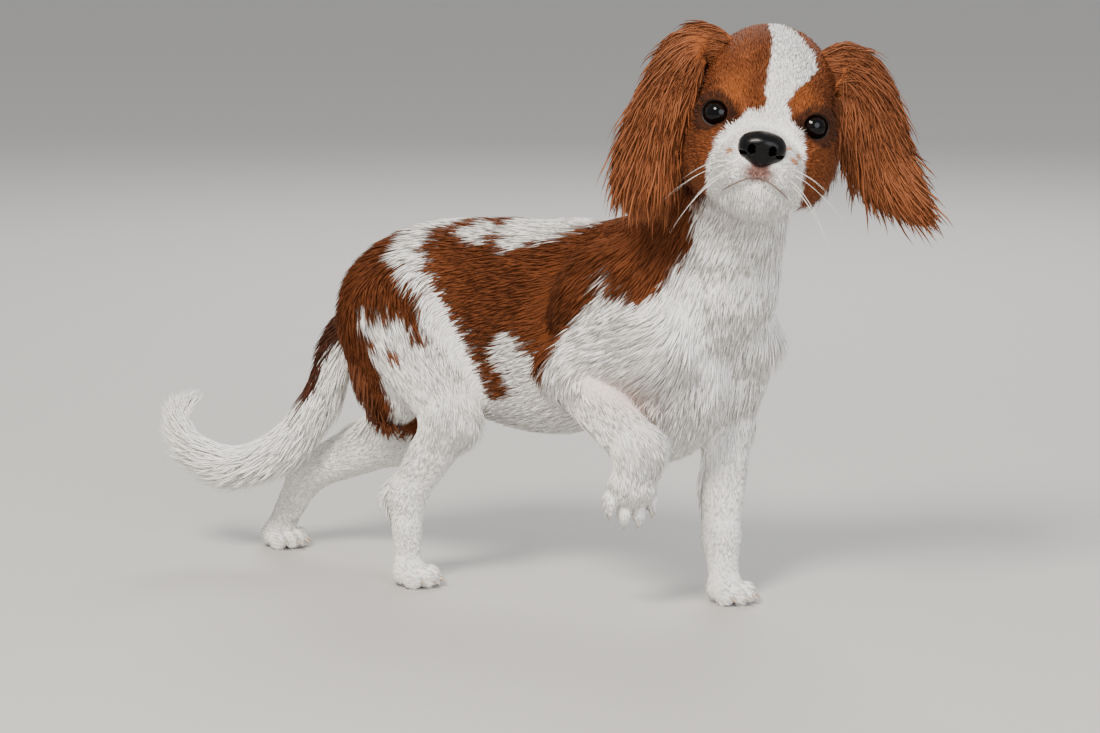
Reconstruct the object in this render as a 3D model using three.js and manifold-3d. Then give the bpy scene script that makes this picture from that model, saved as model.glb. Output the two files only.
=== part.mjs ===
// A Cavalier King Charles spaniel puppy as a still, life-size model: it stands on three legs with its right
// forepaw raised, its left hind leg stretched back, and its head turned to look out over its right side.
// Millimetres, +X towards the dog's chest, +Y its left, +Z up, and the floor at z = 0.
import * as THREE from "three";
import { mergeVertices } from "three/addons/utils/BufferGeometryUtils.js";
import Module from "manifold-3d";

const wasm = await Module();
wasm.setup();

// Driving dimensions
const CENTRE = new THREE.Vector3(-2.67, -23.96, 0); // middle of the dog's box in plan, which becomes the origin
const GAP = 0.4; // between nodes that touch
// facet sizes
const TORSO_CELL = 18, NECK_CELL = 15, FACE_CELL = 6.4, SKULL_CELL = 12, THIGH_CELL = 14, LEG_CELL = 10.5;
const PAW_CELL = 7, NOSE_CELL = 4.7;
const WALL = 9; // from the middle of the trunk to the inner face of each leg
const EYE_SPAN = 55, EYE_RADIUS = 9.6; // between the eyeballs' centres, and their size
const EYE_POINT = new THREE.Vector3(183, -66, 309); // midway between the eyes
const HEAD_YAW = -62.4, HEAD_PITCH = -5, HEAD_ROLL = -7.8; // degrees
const CHEST_YAW = -18; // the forequarters turn towards the side that the head looks to

const at = (x, y, z) => new THREE.Vector3(x, y, z);
const turn = (roll, pitch, yaw) => new THREE.Quaternion().setFromEuler(new THREE.Euler(
  THREE.MathUtils.degToRad(roll), THREE.MathUtils.degToRad(pitch), THREE.MathUtils.degToRad(yaw), "ZYX"));

// The head has its own frame: x out through the nose, y to the dog's left, z up, from midway between the eyes.
const headTurn = turn(HEAD_ROLL, HEAD_PITCH, HEAD_YAW);
const inHead = (x, y, z) => at(x, y, z).applyQuaternion(headTurn).add(EYE_POINT);

// A rounded mass: an ellipsoid. Its value at a point is about the distance to its surface, below zero inside.
function mass(centre, radii, rotation = new THREE.Quaternion(), blend = 14) {
  const back = rotation.clone().invert();
  const p = at(0, 0, 0);
  const value = (point) => {
    p.copy(point).sub(centre).applyQuaternion(back);
    const near = Math.hypot(p.x / radii.x, p.y / radii.y, p.z / radii.z);
    const steep = Math.hypot(p.x / radii.x ** 2, p.y / radii.y ** 2, p.z / radii.z ** 2);
    return steep < 1e-9 ? -Math.min(radii.x, radii.y, radii.z) : (near * (near - 1)) / steep;
  };
  return { value, blend };
}

// A limb's length: a ball at each end with a straight taper between, wider than deep by the share wide along side.
function limb(a, ra, b, rb, blend = 10, side = null, wide = 1) {
  const along = b.clone().sub(a);
  const length2 = along.lengthSq();
  const p = at(0, 0, 0);
  const value = (point) => {
    p.copy(point).sub(a);
    const t = THREE.MathUtils.clamp(p.dot(along) / length2, 0, 1);
    p.addScaledVector(along, -t);
    if (side) p.addScaledVector(side, p.dot(side) * (1 / wide - 1));
    return p.length() - THREE.MathUtils.lerp(ra, rb, t);
  };
  return { value, blend };
}

// The masses joined one after another, each with a fillet as wide as its own blend.
const joined = (pieces) => (point) => pieces.reduce((sum, { value, blend }) => {
  const d = value(point);
  const h = Math.max(blend - Math.abs(sum - d), 0) / blend;
  return Math.min(sum, d) - (h * h * blend) / 4;
}, 1e3);

// The closed surface where a field is zero, on a grid of cells: one vertex in each cell that the surface
// crosses, moved on to the surface, and one square for each grid edge that it crosses.
class FieldGeometry extends THREE.BufferGeometry {
  constructor(field, box, cell) {
    super();
    const count = box.getSize(at(0, 0, 0)).divideScalar(cell).ceil().addScalar(5);
    const [nx, ny, nz] = count.toArray();
    const start = box.min.clone().subScalar(2 * cell);
    const key = (i, j, k) => (k * ny + j) * nx + i;
    const point = at(0, 0, 0);
    const values = new Float32Array(nx * ny * nz);
    for (let k = 0; k < nz; k++)
      for (let j = 0; j < ny; j++)
        for (let i = 0; i < nx; i++) {
          const inside = Math.min(i, j, k) > 1 && i < nx - 2 && j < ny - 2 && k < nz - 2;
          point.set(i, j, k).multiplyScalar(cell).add(start);
          values[key(i, j, k)] = inside ? field(point) : Math.max(field(point), 0.1 * cell);
        }
    FieldGeometry.easeSaddles(values, [nx, ny, nz], key);
    const corners = [0, 1, nx, nx + 1, nx * ny, nx * ny + 1, nx * ny + nx, nx * ny + nx + 1];
    const edges = [[0, 1], [2, 3], [4, 5], [6, 7], [0, 2], [1, 3], [4, 6], [5, 7], [0, 4], [1, 5], [2, 6], [3, 7]];
    const offset = (n) => at(n & 1, (n >> 1) & 1, n >> 2);
    const vertexOf = new Map();
    const positions = [];
    for (let k = 0; k < nz - 1; k++)
      for (let j = 0; j < ny - 1; j++)
        for (let i = 0; i < nx - 1; i++) {
          const base = key(i, j, k);
          const sum = at(0, 0, 0);
          let crossings = 0;
          for (const [m, n] of edges) {
            const vm = values[base + corners[m]];
            const vn = values[base + corners[n]];
            if (vm < 0 === vn < 0) continue;
            sum.add(offset(m).lerp(offset(n), vm / (vm - vn)));
            crossings++;
          }
          if (!crossings) continue;
          sum.divideScalar(crossings).add(at(i, j, k)).multiplyScalar(cell).add(start);
          FieldGeometry.settle(sum, field, cell);
          vertexOf.set(base, positions.length / 3);
          positions.push(sum.x, sum.y, sum.z);
        }
    const faces = [];
    const steps = [[1, nx, nx * ny], [nx, nx * ny, 1], [nx * ny, 1, nx]];
    for (let k = 1; k < nz - 1; k++)
      for (let j = 1; j < ny - 1; j++)
        for (let i = 1; i < nx - 1; i++) {
          const base = key(i, j, k);
          for (const [along, u, w] of steps) {
            const here = values[base] < 0;
            if (here === values[base + along] < 0) continue;
            const ring = [base, base - u, base - u - w, base - w].map((n) => vertexOf.get(n));
            if (!here) ring.reverse();
            faces.push(ring[0], ring[2], ring[1], ring[0], ring[3], ring[2]);
          }
        }
    this.setAttribute("position", new THREE.Float32BufferAttribute(positions, 3));
    this.setIndex(faces);
  }

  // Two short steps down the field's slope, never far enough to cross into the next cell.
  static settle(point, field, cell) {
    const e = 0.05 * cell;
    for (let step = 0; step < 2; step++) {
      const slope = at(
        field(point.clone().setX(point.x + e)) - field(point.clone().setX(point.x - e)),
        field(point.clone().setY(point.y + e)) - field(point.clone().setY(point.y - e)),
        field(point.clone().setZ(point.z + e)) - field(point.clone().setZ(point.z - e))).divideScalar(2 * e);
      const size = Math.max(slope.lengthSq(), 0.2);
      const move = THREE.MathUtils.clamp(field(point), -0.25 * cell, 0.25 * cell);
      point.addScaledVector(slope, -move / size);
    }
  }

  // A grid square with its corners in and out by turns would pinch the surface: its weakest corner changes sides.
  static easeSaddles(values, [nx, ny, nz], key) {
    const pairs = [[1, nx], [nx, nx * ny], [nx * ny, 1]];
    for (let pass = 0, left = 1; pass < 8 && left; pass++) {
      left = 0;
      for (let k = 1; k < nz - 2; k++)
        for (let j = 1; j < ny - 2; j++)
          for (let i = 1; i < nx - 2; i++)
            for (const [u, w] of pairs) {
              const square = [0, u, u + w, w].map((n) => n + key(i, j, k));
              const [a, b, c, d] = square.map((n) => values[n] < 0);
              if (a !== c || b !== d || a === b) continue;
              const weakest = square.reduce((m, n) => (Math.abs(values[n]) < Math.abs(values[m]) ? n : m));
              values[weakest] = values[weakest] < 0 ? 1e-3 : -1e-3;
              left++;
            }
    }
  }
}

// A cylinder bent along a curve and tapered: wide(t) and thick(t) are half sizes across the curve, the flat side
// turned to face, and cup(t) is how far its middle bulges beyond its edges.
function bentTaper(curve, steps, sides, wide, thick, face, cup = () => 0) {
  const shape = new THREE.CylinderGeometry(1, 1, 1, sides, steps);
  const position = shape.getAttribute("position");
  for (let n = 0; n < position.count; n++) {
    const t = THREE.MathUtils.clamp(position.getY(n) + 0.5, 0, 1);
    const forward = curve.getTangent(t);
    const up = face.clone().addScaledVector(forward, -face.dot(forward)).normalize();
    const across = up.clone().cross(forward);
    const place = curve.getPoint(t)
      .addScaledVector(across, position.getZ(n) * wide(t))
      .addScaledVector(up, position.getX(n) * thick(t) + cup(t) * (1 - position.getZ(n) ** 2));
    position.setXYZ(n, place.x, place.y, place.z);
  }
  return shape;
}

// Joining and cutting
function solid(geometry) {
  const bare = new THREE.BufferGeometry().copy(geometry);
  for (const name of ["normal", "uv"]) bare.deleteAttribute(name);
  const merged = mergeVertices(bare, 1e-3);
  const corners = merged.index.array;
  const kept = [];
  for (let n = 0; n < corners.length; n += 3) {
    const [a, b, c] = corners.subarray(n, n + 3);
    if (a !== b && b !== c && c !== a) kept.push(a, b, c);
  }
  merged.setIndex(kept);
  const made = new wasm.Manifold(new wasm.Mesh({
    numProp: 3,
    vertProperties: new Float32Array(merged.attributes.position.array),
    triVerts: new Uint32Array(merged.index.array) }));
  return made.volume() < 0 ? solid(flipped(merged)) : made;
}

function flipped(geometry) {
  const turned = new THREE.BufferGeometry().copy(geometry);
  const index = turned.index.array;
  for (let n = 0; n < index.length; n += 3) [index[n], index[n + 1]] = [index[n + 1], index[n]];
  return turned;
}

function geometryOf(made) {
  const mesh = made.getMesh();
  const positions = new Float32Array(mesh.numVert * 3);
  for (let n = 0; n < mesh.numVert; n++)
    positions.set(mesh.vertProperties.subarray(n * mesh.numProp, n * mesh.numProp + 3), n * 3);
  const geometry = new THREE.BufferGeometry();
  geometry.setAttribute("position", new THREE.BufferAttribute(positions, 3));
  geometry.setIndex(new THREE.BufferAttribute(new Uint32Array(mesh.triVerts), 1));
  return geometry;
}

const largest = (made) => made.decompose().reduce((most, next) => (next.volume() > most.volume() ? next : most));

// The same surface with every vertex moved out along its normal.
function grown(made, distance = GAP) {
  const geometry = geometryOf(made);
  geometry.computeVertexNormals();
  const position = geometry.getAttribute("position");
  const normal = geometry.getAttribute("normal");
  for (let n = 0; n < position.count; n++)
    position.setXYZ(n, position.getX(n) + distance * normal.getX(n),
      position.getY(n) + distance * normal.getY(n), position.getZ(n) + distance * normal.getZ(n));
  return solid(geometry);
}

// Everything on the far side of a plane, as a big block that starts GAP / 2 beyond it.
function beyond(point, direction, reach = 600) {
  const block = new THREE.BoxGeometry(2 * reach, 2 * reach, reach);
  const away = direction.clone().normalize();
  block.applyQuaternion(new THREE.Quaternion().setFromUnitVectors(at(0, 0, 1), away));
  const middle = point.clone().addScaledVector(away, (reach + GAP) / 2);
  return solid(block.translate(middle.x, middle.y, middle.z));
}
const between = (made, from, to) => {
  let kept = made;
  if (from) kept = kept.intersect(beyond(...from));
  if (to) kept = kept.intersect(beyond(to[0], to[1].clone().negate()));
  return kept;
};

// A rounded sleeve from one point to another
function capsule(a, b, radius) {
  const axis = b.clone().sub(a);
  const shape = new THREE.CapsuleGeometry(radius, axis.length(), 4, 12);
  shape.applyQuaternion(new THREE.Quaternion().setFromUnitVectors(at(0, 1, 0), axis.clone().normalize()));
  return solid(shape.translate(...a.clone().add(b).multiplyScalar(0.5).toArray()));
}

// A lock of hair: a flat taper that leaves the surface at its root, lies along the flow and lifts at its tip.
const along = (values) => (t) => {
  const place = t * (values.length - 1);
  const n = Math.min(Math.floor(place), values.length - 2);
  return THREE.MathUtils.lerp(values[n], values[n + 1], place - n);
};
const LOCK = { sunk: 4.5, thick: 1.5, tip: 0.3, clear: 1.3 };
function hairLock(root, normal, flow, length, width, lift) {
  const lie = flow.clone().addScaledVector(normal, -flow.dot(normal)).normalize();
  const start = root.clone().addScaledVector(normal, -LOCK.sunk).addScaledVector(lie, -0.1 * length);
  const middle = root.clone().addScaledVector(lie, 0.45 * length).addScaledVector(normal, 0.3 * lift + 1.5);
  const tip = root.clone().addScaledVector(lie, length).addScaledVector(normal, lift);
  const curve = new THREE.QuadraticBezierCurve3(start, middle, tip);
  return solid(bentTaper(curve, 2, 4, along([width / 2, width / 2, LOCK.tip]),
    along([LOCK.thick, LOCK.thick, LOCK.tip]), normal));
}

// The first place where a line from one point to another enters a field
function entry(field, from, towards) {
  const point = at(0, 0, 0);
  let last = 0;
  for (let t = 0; t <= 1; t += 0.01) {
    if (field(point.copy(from).lerp(towards, t)) < 0) break;
    last = t;
  }
  let [outside, inside] = [last, last + 0.01];
  for (let step = 0; step < 12; step++) {
    const t = (outside + inside) / 2;
    if (field(point.copy(from).lerp(towards, t)) > 0) outside = t;
    else inside = t;
  }
  return point.copy(from).lerp(towards, outside);
}

// Rows of locks round an upright axis: each row has a height, and each lock an angle round the axis in degrees.
function rows(field, { axis, heights, angles, length, width, lift, flow }) {
  return heights.flatMap((z, row) => angles.map((angle, n) => {
    const shifted = THREE.MathUtils.degToRad(angle + (row % 2 ? 0.5 : 0) * (angles[1] - angles[0]));
    const out = at(Math.cos(shifted), Math.sin(shifted), 0);
    const middle = at(axis.x, axis.y, z);
    const root = entry(field, middle.clone().addScaledVector(out, 120), middle);
    const uneven = 1 + 0.16 * Math.sin(2.4 * n + 1.7 * row);
    return hairLock(root, out, flow, length * uneven, width, lift);
  }));
}
// The locks are joined, cut clear of the neighbouring nodes and then added.
function coatOf(locks, near) {
  let coat = locks.reduce((sum, lock) => sum.add(lock));
  for (const neighbour of near) coat = coat.subtract(grown(neighbour, LOCK.clear));
  return coat;
}
const withLocks = (made, locks, near = []) => largest(made.add(coatOf(locks, near)));

const boxOf = (x0, x1, y0, y1, z0, z1) => new THREE.Box3(at(x0, y0, z0), at(x1, y1, z1));

// Trunk, shoulders and thighs
const hips = turn(0, -20, 14);
const chestTurn = turn(0, 0, CHEST_YAW);
const poll = at(150, -30, 300); // top of the neck, under the skull
const trunkPieces = [
  mass(at(-96, -6, 176), at(54, 41, 47), hips, 20),
  mass(at(-50, 8, 178), at(64, 42, 55), turn(0, 0, 8), 30),
  mass(at(-22, 6, 140), at(74, 34, 42), turn(0, 0, 4), 24),
  mass(at(8, 8, 168), at(72, 50, 66), turn(0, -2, -2), 30),
  mass(at(80, -2, 160), at(50, 50, 62), chestTurn, 26),
  mass(at(86, -6, 124), at(34, 30, 38), chestTurn, 20),
  mass(at(44, 4, 208), at(50, 26, 27), turn(0, 0, -8), 22),
  limb(at(90, 2, 205), 46, at(122, -2, 250), 40, 28),
  limb(at(122, -2, 250), 40, poll, 35, 14),
  mass(at(124, 8, 212), at(30, 36, 46), chestTurn, 20),
];

// Legs: joints from the trunk down, the radius at each, and the paw's middle, heading and set in degrees
const legs = {
  foreleg_left: {
    joints: [at(119, 30, 165), at(107, 37, 108), at(114, 16, 38), at(119, 11, 14)], radii: [28, 20, 12.5, 11],
    paw: at(124, 9, -1.5), heading: -12, pitch: 0, sheath: [30, 30], muscle: mass(at(88, 28, 182), at(34, 18, 42), hips, 18),
  },
  foreleg_right: {
    joints: [at(92, -38, 168), at(42, -52, 148), at(96, -57, 104), at(93, -58, 84)], radii: [25, 21, 18.5, 17],
    paw: at(82, -50, 76), heading: -42, pitch: 82, scale: 1.2, sheath: [28, 26], muscle: mass(at(60, -32, 184), at(36, 18, 42), hips, 18),
  },
  hindleg_right: {
    joints: [at(-96, -24, 170), at(-49, -40, 108), at(-79, -46, 58), at(-77, -48, 14)], radii: [36, 21, 13.5, 9.5],
    paw: at(-71, -49, -1.5), heading: 2, pitch: 0, sheath: [36, 30], muscle: mass(at(-106, -25, 138), at(28, 20, 44), hips, 18),
  },
  hindleg_left: {
    joints: [at(-98, 26, 168), at(-128, 22, 84), at(-194, 14, 52), at(-215, 10, 14)], radii: [35, 23, 14, 10],
    paw: at(-212, 9, -1.5), heading: -6, pitch: 0, sheath: [36, 32], muscle: mass(at(-110, 24, 140), at(30, 20, 42), hips, 18),
  },
};

// The paw's own frame: x out through the toes, y to its left, z up from the floor.
const PAW = { length: 36, width: 34, height: 21 };
const CLAW = { radius: 1.9, length: 9, reach: 8.5, droop: 0.35 };
function pawPieces({ paw, heading, pitch, scale = 1 }) {
  const set = turn(0, pitch, heading);
  const inPaw = (x, y, z) => at(x, y, z).applyQuaternion(set).add(paw);
  const [length, width, height] = [PAW.length, PAW.width, PAW.height].map((size) => size * scale);
  const pad = mass(inPaw(-0.1 * length, 0, 0.44 * height), at(0.36 * length, 0.4 * width, 0.5 * height), set, 6);
  const toes = [-1.5, -0.5, 0.5, 1.5].map((side) => {
    const forward = (Math.abs(side) < 1 ? 0.26 : 0.12) * length;
    return mass(inPaw(forward, 0.225 * side * width, 0.36 * height),
      at(0.25 * length, 0.155 * width, 0.38 * height), set, 3);
  });
  return [pad, ...toes];
}

// A short curved claw at the end of each toe
function claws({ paw, heading, pitch, scale = 1 }) {
  const set = turn(0, pitch, heading);
  return [-1.5, -0.5, 0.5, 1.5].map((side) => {
    const forward = (Math.abs(side) < 1 ? 0.26 : 0.12) * PAW.length + CLAW.reach;
    const cone = new THREE.ConeGeometry(CLAW.radius, CLAW.length, 4).rotateZ(-Math.PI / 2 - CLAW.droop);
    cone.translate(forward, 0.225 * side * PAW.width, 0.34 * PAW.height).scale(scale, scale, scale);
    return solid(cone.applyQuaternion(set).translate(...paw.toArray()));
  });
}

const legPieces = Object.values(legs).flatMap((leg) => {
  const [hip, knee, hock, foot] = leg.joints;
  const [r0, r1, r2, r3] = leg.radii;
  return [leg.muscle, limb(hip, r0, knee, r1, 18), limb(knee, r1, hock, r2, 8), limb(hock, r2, foot, r3, 8),
    ...pawPieces(leg)];
});

// Head
const LIP_TOP = -33, LIP_DROP = 16; // from the middle of the mouth line down to its corners
const both = (make) => [-1, 1].map(make);
const headMass = (x, y, z, rx, ry, rz, blend) => mass(inHead(x, y, z), at(rx, ry, rz), headTurn, blend);
const headPieces = [
  headMass(-39, 0, 12, 52, 43, 46.5, 16),
  ...both((side) => headMass(-14, side * 25, -22, 30, 20.5, 27, 16)),
  ...both((side) => headMass(-6, side * 17, 12, 13, 13, 8, 14)),
  ...both((side) => headMass(-3, side * 27, 0, 12.5, 13, 13, 10)),
  ...both((side) => headMass(2, side * 23, -16, 13, 11, 11, 10)),
  headMass(13, 0, -16, 24, 15, 12, 9),
  ...both((side) => headMass(17, side * 12, -30, 19, 14.5, 17, 7)),
  headMass(-4, 0, -42, 33, 23, 15, 10),
  headMass(13, 0, -47, 18, 13, 10, 6),
];
const body = joined([...trunkPieces, ...legPieces]);
const bodyAndHead = joined([...trunkPieces, ...headPieces]);
const skull = joined(headPieces);

// Where a straight line through the head's frame first meets its surface
function onFace(from, towards) {
  const point = at(0, 0, 0);
  let [outside, inside] = [0, 1];
  for (let step = 0; step < 40; step++) {
    const t = (outside + inside) / 2;
    point.copy(inHead(...from)).lerp(inHead(...towards), t);
    if (skull(point) > 0) outside = t;
    else inside = t;
  }
  return point;
}

const neckCut = [at(92, 2, 214), at(0.5, -0.12, 0.86)];
const headCut = [at(152, -28, 274), at(0.5, -0.34, 0.8)];
const shaped = (field, box, cell) => solid(new FieldGeometry(field, box, cell));

const floor = beyond(at(0, 0, -GAP / 2), at(0, 0, 1));
const meshes = {};
const cutters = [];
for (const [name, leg] of Object.entries(legs)) {
  const [hip, knee, hock, foot] = leg.joints;
  const outward = at(0, name.endsWith("left") ? 1 : -1, 0);
  const sleeve = (grow) => capsule(hip, knee, leg.sheath[0] + grow)
    .intersect(beyond(outward.clone().multiplyScalar(WALL - grow), outward))
    .add(capsule(knee, hock, leg.sheath[1] + grow)).add(capsule(hock, leg.paw, leg.sheath[1] + 6 + grow));
  const bisector = knee.clone().sub(hip).normalize().add(hock.clone().sub(knee).normalize());
  const kneeCut = [knee, bisector];
  const hockCut = [hock.clone().lerp(foot, 0.3), foot.clone().sub(hock)];
  const part = (cell, around, from, to) => {
    const box = new THREE.Box3().setFromPoints(around).expandByScalar(leg.radii[0] + 14);
    const piece = between(shaped(body, box, cell).intersect(sleeve(0)), from, to);
    return largest(leg.pitch === 0 ? piece.intersect(floor) : piece);
  };
  cutters.push(sleeve(GAP));
  meshes[name + "_upper"] = part(THIGH_CELL, [hip, knee], null, kneeCut);
  meshes[name + "_lower"] = part(LEG_CELL, [knee, hock], kneeCut, hockCut);
  meshes[name + "_paw"] = withLocks(part(PAW_CELL, [hock, foot, leg.paw], hockCut, null), claws(leg));
}
// The frill on the chest, the fringe under the belly and the feathering behind each leg
const trunk = joined(trunkPieces);
const frill = rows(trunk, { axis: at(92, 2, 0), heights: [206, 178, 150], angles: [-64, -40, -16, 8, 32],
  length: 38, width: 10, lift: 5, flow: at(0.05, 0, -1) });
const fringe = [-40, -4, 32].flatMap((x) => [-1, 1].map((side) => {
  const root = entry(trunk, at(x, 6 + side * 12, 40), at(x, 6, 150));
  return hairLock(root, at(0, 0.2 * side, -1).normalize(), at(-1, 0, -0.5), 24, 8, 4);
}));
const throat = rows(bodyAndHead, { axis: at(118, 0, 0), heights: [258, 236], angles: [-60, -35, -10, 15],
  length: 32, width: 9, lift: 3, flow: at(0, 0, -1) });
let torso = between(withLocks(shaped(body, boxOf(-165, 165, -75, 75, 70, 300), TORSO_CELL), [...frill, ...fringe]),
  null, neckCut);
for (const cutter of cutters) torso = torso.subtract(cutter);
meshes.torso = largest(torso);
let neck = shaped(bodyAndHead, boxOf(10, 215, -90, 70, 150, 345), NECK_CELL);
meshes.neck = withLocks(largest(between(neck, neckCut, headCut)), throat, [meshes.torso]);
const feathering = {
  hindleg_right_upper: rows(body, { axis: at(-92, -30, 0), heights: [146, 120], angles: [188, 208, 228],
    length: 24, width: 9, lift: 7, flow: at(-0.2, 0, -1) }),
  hindleg_left_upper: rows(body, { axis: at(-105, 25, 0), heights: [134], angles: [132, 152, 172],
    length: 24, width: 9, lift: 7, flow: at(-0.2, 0, -1) }),
  hindleg_right_lower: rows(body, { axis: at(-66, -44, 0), heights: [84], angles: [160, 200],
    length: 15, width: 7, lift: 4, flow: at(-0.3, 0, -1) }),
  foreleg_left_lower: rows(body, { axis: at(112, 26, 0), heights: [96, 76], angles: [165, 200],
    length: 18, width: 7, lift: 5, flow: at(-0.1, 0, -1) }),
  foreleg_right_lower: [0.3, 0.55, 0.8].map((t) => {
    const [, elbow, wrist] = legs.foreleg_right.joints;
    const middle = elbow.clone().lerp(wrist, t);
    const under = at(-0.55, 0, -0.83);
    const root = entry(body, middle.clone().addScaledVector(under, 60), middle);
    return hairLock(root, under, at(0.2, 0, -1), 18, 8, 6);
  }),
};
for (const [name, locks] of Object.entries(feathering)) {
  const side = name.split("_").slice(0, 2).join("_");
  const near = Object.keys(meshes).filter((other) => other !== name && (other === "torso" || other.startsWith(side)));
  meshes[name] = withLocks(meshes[name], locks, near.map((other) => meshes[other]));
}

// Eyes and nose
const eyes = {};
for (const side of [-1, 1]) {
  const gaze = at(1, side * 0.36, 0.02).applyQuaternion(headTurn).normalize();
  const centre = inHead(0, side * EYE_SPAN / 2, 0);
  const look = new THREE.Quaternion().setFromUnitVectors(at(0, 0, 1), gaze);
  const ball = (radius) => solid(new THREE.SphereGeometry(radius, 12, 8).applyQuaternion(look)
    .translate(...centre.toArray()));
  const opening = solid(new THREE.SphereGeometry(1, 16, 10).scale(12, 8.6, 7.8)
    .applyQuaternion(headTurn.clone().multiply(turn(side * 8, 0, Math.sign(side) * 20)))
    .translate(...centre.clone().addScaledVector(gaze, 6).toArray()));
  eyes[side] = { ball, opening, centre, gaze };
}
const nosePieces = [
  headMass(29, 0, -13.5, 10.5, 11.5, 8, 5),
  ...both((side) => headMass(28.5, side * 7.3, -18, 9, 6.2, 7.5, 4)),
];
const noseField = joined(nosePieces);
let nose = shaped(noseField, new THREE.Box3().setFromCenterAndSize(inHead(30, 0, -15), at(44, 44, 40)), NOSE_CELL);
const noseHole = grown(nose);
for (const side of [-1, 1]) {
  const nostril = new THREE.SphereGeometry(1, 12, 8).scale(6, 2.3, 3.2).rotateZ(side * 0.5)
    .applyQuaternion(headTurn).translate(...inHead(37.5, side * 6.6, -17).toArray());
  nose = nose.subtract(solid(nostril));
}

const ahead = at(1, 0, 0).applyQuaternion(headTurn);
const faceStart = inHead(-14, 0, 0);
const skullPart = (cell) => between(shaped(bodyAndHead, boxOf(90, 240, -140, 60, 220, 385), cell), headCut, null);
let head = skullPart(FACE_CELL).intersect(beyond(faceStart, ahead))
  .add(skullPart(SKULL_CELL).intersect(beyond(faceStart.clone().addScaledVector(ahead, GAP + 0.1), ahead.clone().negate())));
for (const side of [-1, 1])
  head = head.add(eyes[side].ball(EYE_RADIUS + 2.2));
for (const side of [-1, 1])
  head = head.subtract(eyes[side].opening).subtract(eyes[side].ball(EYE_RADIUS + GAP));
const mouthLine = new THREE.CatmullRomCurve3(Array.from({ length: 13 }, (_, n) => {
  const y = -27 + 4.5 * n;
  const z = LIP_TOP - LIP_DROP * Math.abs(y / 27) ** 1.5;
  return onFace([60, y, z], [0, y * 0.9, z]);
}));
const round = (radius) => () => radius;
head = head.subtract(solid(bentTaper(mouthLine, 24, 6, round(1.6), round(1.6), ahead)));
const philtrum = new THREE.CatmullRomCurve3([-22, -26, -30, -34].map((z) => onFace([60, 0, z], [0, 0, z])));
head = head.subtract(solid(bentTaper(philtrum, 8, 6, round(1.3), round(1.3), ahead)));
head = head.subtract(noseHole);
meshes.head = largest(head);
meshes.nose = largest(nose);
for (const [side, label] of [[-1, "right"], [1, "left"]])
  meshes["eye_" + label] = eyes[side].ball(EYE_RADIUS);

// Ears: a leaf that hangs from the side of the skull
const ears = {
  ear_right: {
    line: [[-28, -26, 34], [-28, -42, 43], [-29, -55, 31], [-31, -62, 4], [-32, -65, -20], [-32, -66, -38],
      [-32, -66, -54]],
    wide: [12, 13, 17, 22, 23, 21, 9], cup: [0, 2, 4, 5, 4, 3, 0], face: at(0.9, -0.45, 0),
  },
  ear_left: {
    line: [[-30, 28, 32], [-33, 43, 41], [-37, 57, 31], [-40, 67, 11], [-43, 77, -11], [-45, 91, -29],
      [-46, 100, -38]],
    wide: [12, 13, 17, 19, 17, 12, 2.5], cup: [0, 2, 4, 5, 4, 2, 0], face: at(0.9, 0.45, 0),
  },
};
const grownHead = grown(meshes.head);
for (const [name, ear] of Object.entries(ears)) {
  const line = new THREE.CatmullRomCurve3(ear.line.map((place) => inHead(...place)));
  const face = ear.face.clone().applyQuaternion(headTurn);
  const leaf = solid(bentTaper(line, 14, 12, along(ear.wide), along([7, 6, 5, 5, 5, 4, 1.5]), face, along(ear.cup)));
  const up = (t) => {
    const forward = line.getTangent(t);
    return face.clone().addScaledVector(forward, -face.dot(forward)).normalize();
  };
  const locks = [0.36, 0.55, 0.74, 0.92].flatMap((t, row) => [-1, 0, 1].map((share, n) => {
    const forward = line.getTangent(t);
    const across = up(t).cross(forward);
    const out = share === 0 ? 0.55 : 0;
    const root = line.getPoint(t).addScaledVector(across, share * 0.8 * along(ear.wide)(t))
      .addScaledVector(up(t), along(ear.cup)(t) * (1 - (0.8 * share) ** 2) + 3.5 - 2 * Math.abs(share));
    const flow = forward.clone().addScaledVector(across, 0.4 * share);
    return hairLock(root, up(t), flow, (row === 3 ? 14 : 27) + 3 * Math.sin(2 * n + 3 * row), 8, 3 + out);
  }));
  meshes[name] = withLocks(largest(leaf.subtract(grownHead)), locks, [meshes.head, meshes.neck]);
}

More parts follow.
